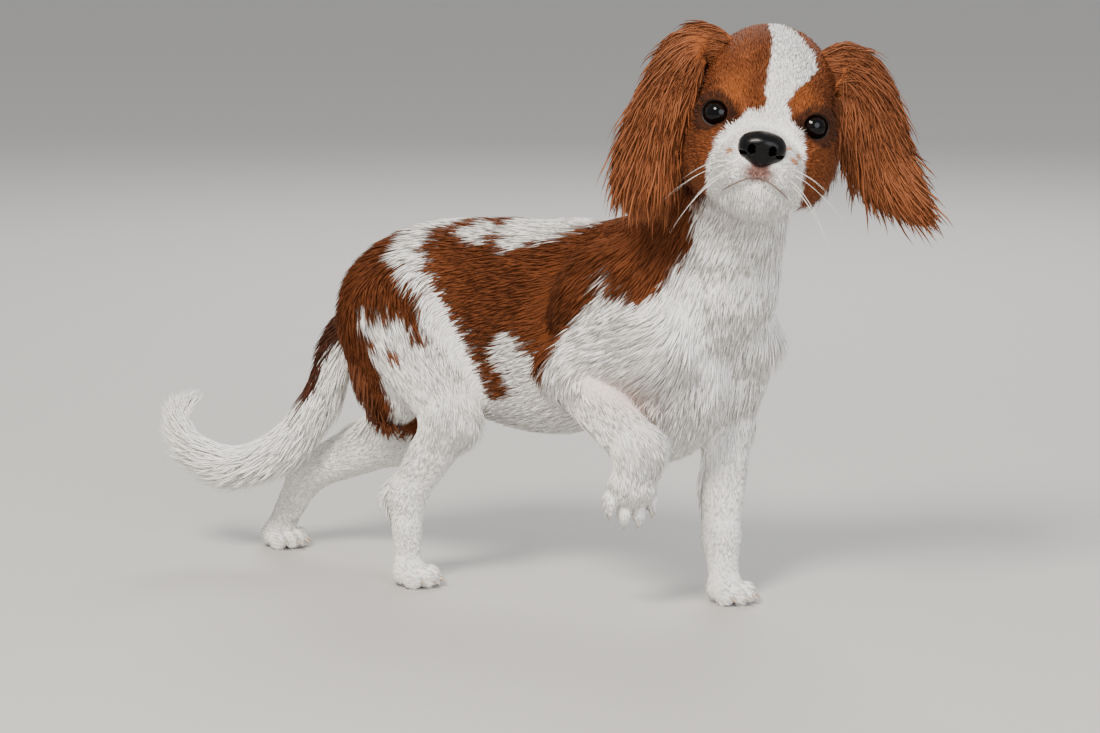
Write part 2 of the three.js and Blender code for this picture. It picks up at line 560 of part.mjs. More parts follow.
// Tail: three lengths of one bushy taper
const tailLine = new THREE.CatmullRomCurve3([at(-132, -2, 172), at(-153, -3, 150), at(-168, -5, 112), at(-188, -13, 80),
  at(-216, -27, 63), at(-241, -40, 69), at(-252, -46, 86), at(-247, -44, 101)]);
const TAIL_WIDE = [9, 12, 14.5, 15.5, 15, 12.5, 8.5, 2];
const grownTorso = grown(meshes.torso);
const tailParts = [["tail_base", 0, 0.36], ["tail_middle", 0.36, 0.7], ["tail_tip", 0.7, 1]];
let plume = null; // the locks of the length before
const tailSlack = GAP / tailLine.getLength() / 2;
for (const [name, from, to] of tailParts) {
  const span = (t) => THREE.MathUtils.lerp(from + tailSlack, to - tailSlack, t);
  const part = { getPoint: (t) => tailLine.getPoint(span(t)), getTangent: (t) => tailLine.getTangent(span(t)) };
  const wide = (t) => along(TAIL_WIDE)(span(t));
  const locks = [0.2, 0.64].flatMap((t, row) => [0, 1, 2, 3].map((n) => {
    const forward = part.getTangent(t);
    const angle = (n + (row % 2) / 2) * Math.PI / 2;
    const side = at(0, 1, 0).addScaledVector(forward, -forward.y).normalize();
    const out = side.clone().applyAxisAngle(forward, angle);
    const root = part.getPoint(t).addScaledVector(out, 0.92 * wide(t));
    return hairLock(root, out, forward, name === "tail_tip" ? 15 : 27, 8, 3.5);
  }));
  const near = Object.keys(meshes).filter((other) => /torso|hindleg|tail/.test(other));
  const coat = coatOf(name === "tail_tip" ? locks.slice(0, 4) : locks, near.map((other) => meshes[other]));
  let core = solid(bentTaper(part, 6, 9, wide, wide, at(0, 1, 0))).subtract(grownTorso);
  if (plume) core = core.subtract(grown(plume, LOCK.clear));
  plume = coat;
  meshes[name] = largest(largest(core).add(coat));
}

const dog = new THREE.Group();
const tone = { head: "#97512d", neck: "#8a4a2b", ear: "#a55c31", nose: "#17181b", eye: "#1c100b" };
for (const [name, made] of Object.entries(meshes)) {
  const dark = name.startsWith("nose") || name.startsWith("eye");
  const mesh = new THREE.Mesh(geometryOf(largest(made)), new THREE.MeshStandardMaterial({
    color: tone[name.split("_")[0]] ?? "#eee9e2", roughness: dark ? 0.15 : 0.9, metalness: 0 }));
  mesh.name = name;
  mesh.position.copy(CENTRE).negate();
  dog.add(mesh);
}
export default dog;
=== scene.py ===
import math
import time
import bpy
import numpy as np
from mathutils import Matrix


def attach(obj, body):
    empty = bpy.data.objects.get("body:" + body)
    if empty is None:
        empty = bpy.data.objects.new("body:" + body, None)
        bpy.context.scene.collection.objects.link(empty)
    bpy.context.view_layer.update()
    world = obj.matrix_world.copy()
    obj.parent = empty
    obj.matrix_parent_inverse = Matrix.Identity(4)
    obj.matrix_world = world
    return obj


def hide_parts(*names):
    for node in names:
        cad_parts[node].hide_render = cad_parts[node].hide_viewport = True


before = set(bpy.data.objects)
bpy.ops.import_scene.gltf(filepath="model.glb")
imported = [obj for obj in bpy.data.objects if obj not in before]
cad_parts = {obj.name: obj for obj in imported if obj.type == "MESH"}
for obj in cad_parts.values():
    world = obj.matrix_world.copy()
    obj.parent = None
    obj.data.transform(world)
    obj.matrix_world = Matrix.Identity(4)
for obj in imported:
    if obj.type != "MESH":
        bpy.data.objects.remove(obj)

startTime = time.time()
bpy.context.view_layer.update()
rng = np.random.default_rng(11)  # every random choice below is drawn from this seed
origin = np.array([-2.67, -23.96, 0.0])  # the row's origin in the dog's own millimetre frame
slack = 1e-9


# A line of progress, after the seconds since the start
def said(words):
    print("%5.1f s  %s" % (time.time() - startTime, words))


def vec(x, y, z):
    return np.array([x, y, z], dtype=float)


# Rotation matrix of a roll about x, then a pitch about y, then a yaw about z, in degrees
def turn(roll, pitch, yaw):
    a, b, c = np.radians([roll, pitch, yaw])
    rx = np.array([[1, 0, 0], [0, math.cos(a), -math.sin(a)], [0, math.sin(a), math.cos(a)]])
    ry = np.array([[math.cos(b), 0, math.sin(b)], [0, 1, 0], [-math.sin(b), 0, math.cos(b)]])
    rz = np.array([[math.cos(c), -math.sin(c), 0], [math.sin(c), math.cos(c), 0], [0, 0, 1]])
    return rz @ ry @ rx


# A direction: a vector over its own length
def unit(v):
    return v / np.maximum(np.linalg.norm(v, axis=-1, keepdims=True), slack)


# An eased share, from 0 at low to 1 at high: t * t * (3 - 2 * t), where t is how far x has come between them
def smoothStep(low, high, x):
    t = np.clip((x - low) / (high - low), 0, 1)
    return t * t * (3 - 2 * t)


# The head's own frame: x out through the nose, y to the dog's left, z up, from midway between the eyes
head = {"eyePoint": vec(183, -66, 309), "roll": -7.8, "pitch": -5, "yaw": -62.4,
        "eyeSpan": 55, "eyeRadius": 9.6, "lidWidth": 8.3, "lidHeight": 7.5}
headTurn = turn(head["roll"], head["pitch"], head["yaw"])


def inHead(x, y, z):
    return headTurn @ vec(x, y, z) + head["eyePoint"]


# Back into the head's frame: less the point between the eyes, then the turn undone
def toHead(points):
    return (points - head["eyePoint"]) @ headTurn


# A rounded mass: near * (near - 1) / steep, about the distance to an ellipsoid, below zero inside
def mass(centre, radii, rotation=np.eye(3), blend=14, flow=(-1, 0, -0.35)):
    centre, radii = np.array(centre, float), np.array(radii, float)

    def value(p):
        q = (p - centre) @ rotation
        near = np.linalg.norm(q / radii, axis=-1)
        steep = np.linalg.norm(q / radii ** 2, axis=-1)
        return near * (near - 1) / np.maximum(steep, 1e-6)
    return {"value": value, "blend": blend, "flow": np.array(flow, float)}


# A limb's length: the distance to a straight line less a radius that runs evenly from one end to the other
def limb(a, ra, b, rb, blend=10, flow=None):
    a, b = np.array(a, float), np.array(b, float)
    along = b - a

    def value(p):
        t = np.clip((p - a) @ along / (along @ along), 0, 1)
        return np.linalg.norm(p - a - t[..., None] * along, axis=-1) - (ra + (rb - ra) * t)
    return {"value": value, "blend": blend, "flow": unit(along) if flow is None else np.array(flow, float)}


# Masses joined one after another: the smaller value less h * h * blend / 4, where h is how near the two are
def joined(pieces):
    def value(p):
        total = np.full(p.shape[:-1], 1e3)
        for piece in pieces:
            d = piece["value"](p)
            h = np.maximum(piece["blend"] - np.abs(total - d), 0) / piece["blend"]
            total = np.minimum(total, d) - h * h * piece["blend"] / 4
        return total
    return value


# The slope of a field: along each axis, the change over two small steps divided by their length
def slopeOf(value, points, step=0.3):
    sides = [value(points + step * e) - value(points - step * e) for e in np.eye(3)]
    return np.stack(sides, axis=-1) / (2 * step)


# The surface where a field is zero: one vertex in each grid cell that it crosses, at the mean of the
# crossings on the cell's edges, then moved down the slope on to the surface; one four-sided face for each
# grid edge crossed, turned so that it points out
def netSurface(value, low, high, cell):
    axes = [np.arange(low[n] - 2 * cell, high[n] + 2 * cell, cell) for n in range(3)]
    shape = tuple(len(axis) for axis in axes)
    grid = np.empty(shape, np.float32)
    yz = np.stack(np.meshgrid(axes[1], axes[2], indexing="ij"), -1)
    for n, x in enumerate(axes[0]):
        grid[n] = value(np.concatenate([np.full(yz.shape[:2] + (1,), x), yz], -1))
    outer = np.ones(shape, bool)
    outer[2:-2, 2:-2, 2:-2] = False
    grid[outer] = np.maximum(grid[outer], 0.1 * cell)
    inside = grid < 0
    corners = [(a, b, c) for a in (0, 1) for b in (0, 1) for c in (0, 1)]
    count = sum(inside[a:shape[0] - 1 + a, b:shape[1] - 1 + b, c:shape[2] - 1 + c].astype(np.int8)
                for a, b, c in corners)
    cells = np.argwhere((count > 0) & (count < 8))
    total = np.zeros((len(cells), 3))
    crossings = np.zeros(len(cells))
    for axis in range(3):
        for a in (0, 1):
            for b in (0, 1):
                start = np.insert([a, b], axis, 0)
                end = np.insert([a, b], axis, 1)
                va = grid[tuple((cells + start).T)]
                vb = grid[tuple((cells + end).T)]
                hit = (va < 0) != (vb < 0)
                t = np.where(hit, va / np.where(hit, va - vb, 1), 0)
                total += hit[:, None] * (start + t[:, None] * (end - start))
                crossings += hit
    points = np.array([axis[0] for axis in axes]) + (cells + total / crossings[:, None]) * cell
    for step in range(2):
        slope = slopeOf(value, points)
        move = np.clip(value(points), -0.3 * cell, 0.3 * cell)
        points = points - slope * (move / np.maximum((slope ** 2).sum(-1), 0.2))[:, None]
    index = np.full(shape, -1, np.int32)
    index[tuple(cells.T)] = np.arange(len(cells))
    faces = []
    for axis in range(3):
        u, w = np.eye(3, dtype=int)[(axis + 1) % 3], np.eye(3, dtype=int)[(axis + 2) % 3]
        forward = np.take(inside, range(1, shape[axis]), axis)
        here = np.take(inside, range(0, shape[axis] - 1), axis)
        edges = np.argwhere(forward != here)
        ring = np.stack([index[tuple((edges - back).T)] for back in (0 * u, u, u + w, w)], -1)
        turned = ~here[tuple(edges.T)]
        ring[turned] = ring[turned][:, ::-1]
        faces.append(ring)
    return points, np.concatenate(faces)


# The body's forms, as in the solids
hips = turn(0, -20, 14)
chestTurn = turn(0, 0, -18)
down, back = (0.05, 0, -1), (-1, 0, -0.3)
trunkPieces = [
    mass((-96, -6, 176), (54, 41, 47), hips, 20, (-0.9, 0, -0.6)),
    mass((-50, 8, 178), (64, 42, 55), turn(0, 0, 8), 30, back),
    mass((-22, 6, 140), (74, 34, 42), turn(0, 0, 4), 24, (-1, 0, -0.3)),
    mass((8, 8, 168), (72, 50, 66), turn(0, -2, -2), 30, back),
    mass((80, -2, 160), (50, 50, 62), chestTurn, 26, (-0.35, 0, -1)),
    mass((86, -6, 124), (34, 30, 38), chestTurn, 20, (-0.5, 0, -1)),
    mass((44, 4, 208), (50, 26, 27), turn(0, 0, -8), 22, (-1, 0, -0.2)),
    limb((90, 2, 205), 46, (122, -2, 250), 40, 28, (-0.5, 0, -1)),
    limb((122, -2, 250), 40, (150, -30, 300), 35, 14, (-0.5, 0.1, -1)),
    mass((124, 8, 212), (30, 36, 46), chestTurn, 20, (0.1, 0, -1)),
]
legs = {
    "foreleg_left": {"joints": [(119, 30, 165), (107, 37, 108), (114, 16, 38), (119, 11, 14)],
                     "radii": [28, 20, 12.5, 11], "paw": (124, 9, -1.5), "heading": -12, "pitch": 0,
                     "muscle": mass((88, 28, 182), (34, 18, 42), hips, 18, (-0.6, 0, -1))},
    "foreleg_right": {"joints": [(92, -38, 168), (42, -52, 148), (96, -57, 104), (93, -58, 84)],
                      "radii": [25, 21, 18.5, 17], "paw": (82, -50, 76), "heading": -42, "pitch": 82,
                      "scale": 1.2,
                      "muscle": mass((60, -32, 184), (36, 18, 42), hips, 18, (-0.7, 0, -0.8))},
    "hindleg_right": {"joints": [(-96, -24, 170), (-49, -40, 108), (-79, -46, 58), (-77, -48, 14)],
                      "radii": [36, 21, 13.5, 9.5], "paw": (-71, -49, -1.5), "heading": 2, "pitch": 0,
                      "muscle": mass((-106, -25, 138), (28, 20, 44), hips, 18, (-0.3, 0, -1))},
    "hindleg_left": {"joints": [(-98, 26, 168), (-128, 22, 84), (-194, 14, 52), (-215, 10, 14)],
                     "radii": [35, 23, 14, 10], "paw": (-212, 9, -1.5), "heading": -6, "pitch": 0,
                     "muscle": mass((-110, 24, 140), (30, 20, 42), hips, 18, (-0.4, 0, -1))},
}
paw = {"length": 36, "width": 34, "height": 21, "toes": (-1.5, -0.5, 0.5, 1.5), "spread": 0.225}


# The two middle toes reach further forward than the outer two
def toeReach(toe):
    return 0.26 if abs(toe) < 1 else 0.12


# A paw's turn, its place and its size
def pawFrame(leg):
    size = vec(paw["length"], paw["width"], paw["height"]) * leg.get("scale", 1)
    return turn(0, leg["pitch"], leg["heading"]), np.array(leg["paw"], float), size


# A paw's masses, placed by shares of its size: the pad's back, then one for each toe
def pawPieces(leg):
    frameTurn, place, size = pawFrame(leg)
    forward = frameTurn @ vec(1, 0, -0.1)

    def at(x, y, z):
        return frameTurn @ (vec(x, y, z) * size) + place
    pieces = [mass(at(-0.1, 0, 0.44), vec(0.36, 0.4, 0.5) * size, frameTurn, 6, forward)]
    for toe in paw["toes"]:
        pieces.append(mass(at(toeReach(toe), paw["spread"] * toe, 0.36), vec(0.25, 0.145, 0.38) * size,
                           frameTurn, 1.5, forward))
    return pieces


legPieces = []
for leg in legs.values():
    hip, knee, hock, foot = leg["joints"]
    r0, r1, r2, r3 = leg["radii"]
    legPieces += [leg["muscle"], limb(hip, r0, knee, r1, 18), limb(knee, r1, hock, r2, 8),
                  limb(hock, r2, foot, r3, 8)] + pawPieces(leg)


def headMass(x, y, z, rx, ry, rz, blend):
    return mass(inHead(x, y, z), (rx, ry, rz), headTurn, blend)


both = (-1, 1)
headPieces = [
    headMass(-39, 0, 12, 52, 43, 46.5, 16),
    *[headMass(-14, side * 25, -22, 30, 20.5, 27, 16) for side in both],
    *[headMass(-6, side * 17, 12, 13, 13, 8, 14) for side in both],
    *[headMass(-3, side * 27, 0, 12.5, 13, 13, 10) for side in both],
    *[headMass(2, side * 23, -16, 13, 11, 11, 10) for side in both],
    headMass(13, 0, -16, 24, 15, 12, 9),
    *[headMass(17, side * 12, -30, 19, 14.5, 17, 7) for side in both],
    headMass(-4, 0, -42, 33, 23, 15, 10),
    headMass(13, 0, -47, 18, 13, 10, 6),
]
bodyField = joined(trunkPieces + legPieces)
headField = joined(headPieces)
bodyAndHead = joined(trunkPieces + headPieces)

# How deep the skin lies under the coat's outline, in millimetres: eased from leg to trunk by height, from
# skull to face along the head, and from the body's to the head's within 75 to 55 mm of its middle
coatDepth = {"trunk": 5.0, "leg": 2.0, "skull": 2.6, "face": 1.2}


def depthOfCoat(points):
    local = toHead(points)
    low = smoothStep(50, 120, points[..., 2])
    body = coatDepth["leg"] + (coatDepth["trunk"] - coatDepth["leg"]) * low
    face = coatDepth["face"] + (coatDepth["skull"] - coatDepth["face"]) * smoothStep(10, -25, local[..., 0])
    nearHead = smoothStep(75, 55, np.linalg.norm(local - vec(-25, 0, 0), axis=-1))
    return body * (1 - nearHead) + face * nearHead


# The mouth's line, in the head's frame: its top, its fall to the corners, and its groove
mouth = {"top": -33, "drop": 16, "halfWidth": 27, "groove": 1.1}


# Where straight lines through the head's frame first meet its surface, by halving
def onFace(starts, ends):
    a, b = starts @ headTurn.T + head["eyePoint"], ends @ headTurn.T + head["eyePoint"]
    low, high = np.zeros(len(a)), np.ones(len(a))
    for step in range(30):
        t = (low + high) / 2
        p = a + (b - a) * t[:, None]
        out = headField(p) + coatDepth["face"] > 0
        low, high = np.where(out, t, low), np.where(out, high, t)
    return p


lipY = np.linspace(-mouth["halfWidth"], mouth["halfWidth"], 41)
lipZ = mouth["top"] - mouth["drop"] * np.abs(lipY / mouth["halfWidth"]) ** 1.5
lipLine = onFace(np.stack([0 * lipY + 60, lipY, lipZ], -1), np.stack([0 * lipY, lipY * 0.9, lipZ], -1))
philtrumZ = np.linspace(-22, mouth["top"], 9)
philtrumLine = onFace(np.stack([0 * philtrumZ + 60, 0 * philtrumZ, philtrumZ], -1),
                      np.stack([0 * philtrumZ, 0 * philtrumZ, philtrumZ], -1))


# The distance to a line of short straight pieces
def fromLine(points, line):
    near = np.full(points.shape[:-1], 1e3)
    for a, b in zip(line[:-1], line[1:]):
        along = b - a
        t = np.clip((points - a) @ along / (along @ along), 0, 1)
        near = np.minimum(near, np.linalg.norm(points - a - t[..., None] * along, axis=-1))
    return near


eyes = {}
for side, label in ((-1, "right"), (1, "left")):
    gaze = unit(headTurn @ vec(1, side * 0.36, 0.02))
    across = unit(np.cross(headTurn @ vec(0, 0, 1), gaze))
    up = np.cross(gaze, across)
    eyes[label] = {"centre": inHead(0, side * head["eyeSpan"] / 2, 0), "side": side,
                   "axes": np.stack([gaze, across, up], -1)}
noseField = joined([headMass(28.5, 0, -13.8, 10.5, 12.6, 7.6, 5),
                    *[headMass(28, side * 7.4, -17, 9, 6.4, 7.2, 4) for side in both],
                    headMass(27.5, 0, -21.5, 9, 7, 5.8, 4)])


# How far out a point lies on the lids' opening, an ellipse round the gaze: 1 on its edge, 9 behind the eye
def lidOpening(local, more=0.0):
    out = np.hypot(local[..., 1] / (head["lidWidth"] + more), local[..., 2] / (head["lidHeight"] + more))
    return np.where(local[..., 0] > 0, out, 9)


# The head's skin: its masses with a lid over each eyeball, less the lids' opening, mouth line and nose
def headSkin(points):
    field = bodyAndHead(points) + depthOfCoat(points)
    close = np.abs(field) < 6
    near = points[close]
    part = field[close]
    for eye in eyes.values():
        local = (near - eye["centre"]) @ eye["axes"]
        far = np.linalg.norm(local, axis=-1)
        lid = far - head["eyeRadius"] - 1.5
        h = np.maximum(3 - np.abs(part - lid), 0) / 3
        part = np.minimum(part, lid) - h * h * 0.75
        part = np.maximum(part, -(lidOpening(local) - 1) * 6)
        part = np.maximum(part, head["eyeRadius"] + 0.1 - far)
    part = np.maximum(part, mouth["groove"] - fromLine(near, lipLine[5:36]))
    part = np.maximum(part, 0.9 - fromLine(near, philtrumLine))
    part = np.maximum(part, -noseField(near) - 0.2)
    field[close] = part
    return field


# The body's skin: its masses, moved in by the coat's depth
def bodySkin(points):
    return bodyField(points) + depthOfCoat(points)


neckSeam = {"point": vec(140, -22, 268), "normal": unit(vec(0.5, -0.3, 0.8))}


# How far a point lies above the slanting plane where the head's skin takes over from the body's
def seamSide(points):
    return (points - neckSeam["point"]) @ neckSeam["normal"]


skinCell = {"body": 2.6, "head": 1.25}  # how fine each net is, in millimetres
bodyPoints, bodyFaces = netSurface(lambda p: np.maximum(bodySkin(p), seamSide(p) - 12), vec(-245, -80, -2),
                                   vec(175, 75, 300), skinCell["body"])
said("body skin, %d faces" % len(bodyFaces))
headPoints, headFaces = netSurface(lambda p: np.maximum(headSkin(p), -seamSide(p)), vec(95, -135, 225),
                                   vec(235, 30, 375), skinCell["head"])
said("head skin, %d faces" % len(headFaces))


# sRGB hex turned into linear colour
def linear(text):
    s = np.array([int(text[n:n + 2], 16) for n in (1, 3, 5)]) / 255
    return np.where(s <= 0.04045, s / 12.92, ((s + 0.055) / 1.055) ** 2.4)


# The grey tan tone is a painted shadow under the jaw
# The pinkish grey tone is pink skin with painted shade in the armpit
tones = {"white": "#f7f4ef", "chestnut": "#7b4425", "deep": "#492512", "bright": "#9c5c35",
         "freckle": "#c99068", "philtrum": "#9a7268", "armpitPinkAndShade": "#ecd6cc", "dark": "#2a1a14",
         "amber": "#a8602c", "underJawShadow": "#b9aa9b"}
tones = {name: linear(text) for name, text in tones.items()}


# A soft rambling value from sums of sines, about -1 to 1, with the given length of its waves in millimetres
def ramble(points, wave, salt=0.0):
    k = 2 * math.pi / wave
    x, y, z = points[..., 0], points[..., 1], points[..., 2]
    return (np.sin(k * (x + 0.6 * y) + salt) * np.cos(k * (0.8 * z - 0.5 * x) + 2.1 * salt)
            + 0.5 * np.sin(2.3 * k * (z + 0.4 * y) - salt) * np.cos(1.9 * k * (y - 0.7 * x) + salt)) / 1.5


# Outlines of the coat's patches: on the trunk as (x, z) in the dog's frame, on the face as (y, z) in the
# head's
saddle = [(-70, 219), (-68, 224), (-58, 228), (-62, 265), (0, 330), (100, 335), (138, 300), (131, 275),
          (126, 257), (127, 242), (123, 233), (110, 218), (101, 200), (93, 197), (76, 200), (66, 214),
          (64, 199), (59, 193), (50, 183), (42, 174), (43, 166), (38, 157), (34, 146), (24, 150),
          (13, 157), (5, 166), (-4, 169), (-13, 158), (-14, 150), (-9, 141), (-5, 126), (-18, 122),
          (-24, 126), (-29, 144), (-34, 160), (-45, 175), (-52, 187), (-61, 190), (-66, 205)]
rump = [(-92, 216), (-86, 206), (-81, 198), (-67, 193), (-69, 184), (-71, 174), (-64, 163), (-68, 160),
        (-76, 165), (-75, 173), (-83, 176), (-105, 177), (-111, 174), (-107, 168), (-99, 161),
        (-105, 153), (-101, 140), (-98, 127), (-96, 112), (-104, 90), (-116, 84), (-130, 100),
        (-150, 122), (-185, 130), (-185, 200), (-140, 236), (-98, 236)]
topPatch = [(-30, 265), (50, 265), (43, 234), (30, 231), (23, 225), (2, 221), (-12, 214), (-23, 224)]
smallPatch = [(-53, 224), (-44, 229), (-32, 228), (-27, 223), (-32, 218), (-45, 219)]
blaze = [(-5, 54), (-1.8, 44), (-1.8, 31), (-2.3, 17), (-1, 5), (-10, 2), (-19, -6), (-25, -15),
         (-28.5, -26), (-28, -39), (-27, -50), (-22, -62), (0, -75), (22, -62), (27, -50), (27, -39),
         (25, -26), (23, -13), (19, -3), (12, 3.5), (9.5, 9), (13.5, 17), (20, 23.5), (24, 30),
         (22, 40), (14, 48), (4, 57), (-3, 62)]


# The distance to a closed outline in a plane: below zero inside it, by the parity of the edges crossed
def fromOutline(q, outline):
    outline = np.array(outline, float)
    near = np.full(len(q), 1e3)
    inside = np.zeros(len(q), bool)
    for a, b in zip(outline, np.roll(outline, -1, 0)):
        along = b - a
        t = np.clip((q - a) @ along / (along @ along), 0, 1)
        near = np.minimum(near, np.linalg.norm(q - a - t[:, None] * along, axis=-1))
        crossed = (a[1] > q[:, 1]) != (b[1] > q[:, 1])
        at = a[0] + (q[:, 1] - a[1]) * along[0] / (along[1] if along[1] else slack)
        inside ^= crossed & (q[:, 0] < at)
    return np.where(inside, -near, near)


# A tone washed over a colour where away is below zero, eased over the width of the edge on each side
def washed(colour, tone, away, edge, strength=1.0):
    share = strength * smoothStep(edge, -edge, away)[:, None]
    return colour * (1 - share) + tones[tone] * share


# About how far a point lies outside an ellipsoid: (its distance in radii less 1) * the least radius
def ellipseAway(points, centre, radii):
    radii = np.array(radii, float)
    return (np.linalg.norm((points - np.array(centre)) / radii, axis=-1) - 1) * radii.min()


# On the face, in the head's frame: the freckles beside the nose, and the darker brow and temples
freckles = [(30, -17, -19.7), (27, 14.2, -14.2), (24, 20.5, -17.4), (30, 18, -20.6)]
darkPlaces = [((10, -7, 24), (30, 4, 17)), ((-8, -38, 18), (20, 6, 16)), ((-8, 37, 18), (20, 5, 16))]


# The coat's colour at points in the dog's frame: washes of each tone over the one before, the body's and the
# face's blended over the neck, with painted shade in the armpit, under the jaw, on the nape and in the eyes'
# inner corners
def markingsAndShade(points):
    local = toHead(points)
    x, y, z = points.T
    rag = 2.4 * ramble(points, 13, 0.4) + 1.5 * ramble(points, 5.5, 2.0)
    farSide = smoothStep(-4, 26, y)  # the left side's patches lie further back and ramble more
    side = np.stack([x - 12 * farSide + 5 * farSide * ramble(points, 60, 3.0),
                     z + 6 * farSide * ramble(points, 75)], -1)
    shade = 0.5 + 0.5 * ramble(points, 38, 1.3)
    red = tones["chestnut"] + (tones["deep"] - tones["chestnut"]) * (0.25 + 0.4 * shade)[:, None]
    body = np.tile(tones["white"], (len(points), 1))
    # Pinkish grey in the armpit between the chest and the raised right foreleg: partly pink skin showing
    # through, partly painted shade in the crease
    body = washed(body, "armpitPinkAndShade", ellipseAway(points, (62, -34, 138), (36, 30, 24)), 12)
    for outline in (saddle, rump):
        share = smoothStep(1.6, -1.6, fromOutline(side, outline) + rag)[:, None]
        body = body * (1 - share) + red * share
    body = washed(body, "chestnut", np.hypot(side[:, 0] + 87, side[:, 1] - 153) - 4.5 + 0.5 * rag, 1.4)
    for outline in (topPatch, smallPatch):
        body = washed(body, "white", fromOutline(side, outline) + rag, 1.6)
    glow = smoothStep(0, 1, ramble(local, 21, 0.7))
    face = tones["chestnut"] + (tones["bright"] - tones["chestnut"]) * (0.55 * glow)[:, None]
    fromBrow = np.stack([local[:, 0] - 8, np.abs(local[:, 1] + 1) - 19, local[:, 2] - 14], -1)
    brow = np.exp(-(fromBrow ** 2).sum(-1) / 90)
    face = face + (tones["amber"] - face) * (0.5 * brow)[:, None]
    # Painted shadow: the back of the skull and the nape darken towards the deep tone, as shaded by the head
    napeShadow = smoothStep(-30, -60, local[:, 0])[:, None]
    face = face * (1 - 0.5 * napeShadow) + tones["deep"] * 0.5 * napeShadow
    shadow = np.minimum(*[ellipseAway(local, (10, side * 18.5, -4), (9, 4.5, 7)) for side in both])
    face = washed(face, "deep", shadow, 2.5)
    for place, radii in darkPlaces:
        face = washed(face, "deep", ellipseAway(local, place, radii), 5, 0.5)
    fine = 0.9 * ramble(local, 7, 0.9) + 0.5 * ramble(local, 3, 2.2)
    back = np.where(local[:, 2] > -40, 0.35 * np.maximum(-30 - local[:, 0], 0), 0)
    face = washed(face, "white", fromOutline(local[:, 1:], blaze) + fine + back, 0.9)
    # Painted shadow: a grey tan wash over the white throat under the jaw, where the head shades the neck
    face = washed(face, "underJawShadow", ellipseAway(local, (-16, 0, -60), (26, 26, 12)), 8, 0.7)
    for place in freckles:
        face = washed(face, "freckle", ellipseAway(local, place, (5, 2, 1.6)) + 0.3 * fine, 0.7)
    face = washed(face, "philtrum", ellipseAway(local, (34, 0, -29), (14, 8.5, 5)), 2.2)
    lidSize = vec(1, head["lidWidth"], head["lidHeight"])
    inEyes = [(points - eye["centre"]) @ eye["axes"] / lidSize for eye in eyes.values()]
    around = np.minimum(*[np.hypot(q[:, 1], q[:, 2]) for q in inEyes])
    share = smoothStep(1.55, 1.15, around)[:, None] * smoothStep(-8, 2, local[:, 0])[:, None]
    face = face * (1 - 0.9 * share) + tones["dark"] * 0.9 * share
    onHead = smoothStep(-14, 4, seamSide(points))[:, None]
    return body * (1 - onHead) + face * onHead


# A node of the given kind with its settings and its links from other sockets
def node(tree, kind, settings=None, links=None, **fields):
    made = tree.nodes.new(kind)
    for name, value in fields.items():
        setattr(made, name, value)
    for name, value in (settings or {}).items():
        made.inputs[name].default_value = value
    for name, socket in (links or {}).items():
        tree.links.new(socket, made.inputs[name])
    return made


# A material of the given name, with its node tree and its main shader
def material(name, settings):
    made = bpy.data.materials.new(name)
    made.use_nodes = True
    tree = made.node_tree
    shader = tree.nodes["Principled BSDF"]
    for key, value in settings.items():
        shader.inputs[key].default_value = value
    return made, tree, shader


# The linear colour with full cover, as a shader's socket takes it
def rgba(text):
    return (*linear(text), 1)


# Millimetres from one streak of hair, or pebble of the nose, to the next
streakSize, pebbleSize = 2.381, 0.7143


# A pattern's scale on Object coordinates: how many of the size in millimetres fit in a metre
def perMetre(size):
    return 1000 / size


# Hair: the tint painted on each tuft with a fine streak from tuft to tuft, soft and slightly silky
def hairMaterial(name, roughness, gloss):
    made, tree, shader = material(name, {"Roughness": roughness, "Specular IOR Level": gloss})
    tint = node(tree, "ShaderNodeAttribute", attribute_name="coatTint")
    place = node(tree, "ShaderNodeTexCoord")
    streak = node(tree, "ShaderNodeTexNoise", {"Scale": perMetre(streakSize), "Detail": 2.0},
                  {"Vector": place.outputs["Object"]})
    spread = node(tree, "ShaderNodeMapRange", {"To Min": 0.88, "To Max": 1.1},
                  {"Value": streak.outputs["Fac"]})
    mixed = node(tree, "ShaderNodeVectorMath", {}, {0: tint.outputs["Color"], 1: spread.outputs["Result"]},
                 operation="MULTIPLY")
    tree.links.new(mixed.outputs["Vector"], shader.inputs["Base Color"])
    return made


coatMaterial = hairMaterial("dogHair", 0.75, 0.12)
longMaterial = hairMaterial("silkyLongHair", 0.6, 0.22)
skinMaterial = hairMaterial("underCoat", 0.9, 0.05)

# Nose leather: black and moist, with pebbles under a millimetre across that break up its highlight
noseLook = {"Base Color": rgba("#060506"), "Roughness": 0.27, "Specular IOR Level": 0.14, "Coat Weight": 0.12,
            "Coat Roughness": 0.1}
noseMaterial, tree, shader = material("noseLeather", noseLook)
place = node(tree, "ShaderNodeTexCoord")
pebble = node(tree, "ShaderNodeTexVoronoi", {"Scale": perMetre(pebbleSize)},
              {"Vector": place.outputs["Object"]})
bump = node(tree, "ShaderNodeBump", {"Strength": 0.35, "Distance": 0.0003},
            {"Height": pebble.outputs["Distance"]})
tree.links.new(bump.outputs["Normal"], shader.inputs["Normal"])

# Eye: a dark brown iris round a black pupil under a clear wet coat; rings measured from the gaze axis
eyeMaterial, tree, shader = material("wetDarkEye", {"Roughness": 0.04, "Specular IOR Level": 0.2})
ring = node(tree, "ShaderNodeAttribute", attribute_name="iris")
ramp = node(tree, "ShaderNodeValToRGB", {}, {"Fac": ring.outputs["Fac"]})
ramp.color_ramp.elements[0].position, ramp.color_ramp.elements[0].color = 0.40, rgba("#030303")
ramp.color_ramp.elements[1].position, ramp.color_ramp.elements[1].color = 0.50, rgba("#110704")
for position, tone in ((0.80, "#0e0704"), (0.92, "#1c1210")):  # the iris's dark edge, then the white's rim
    ramp.color_ramp.elements.new(position).color = rgba(tone)
tree.links.new(ramp.outputs["Color"], shader.inputs["Base Color"])

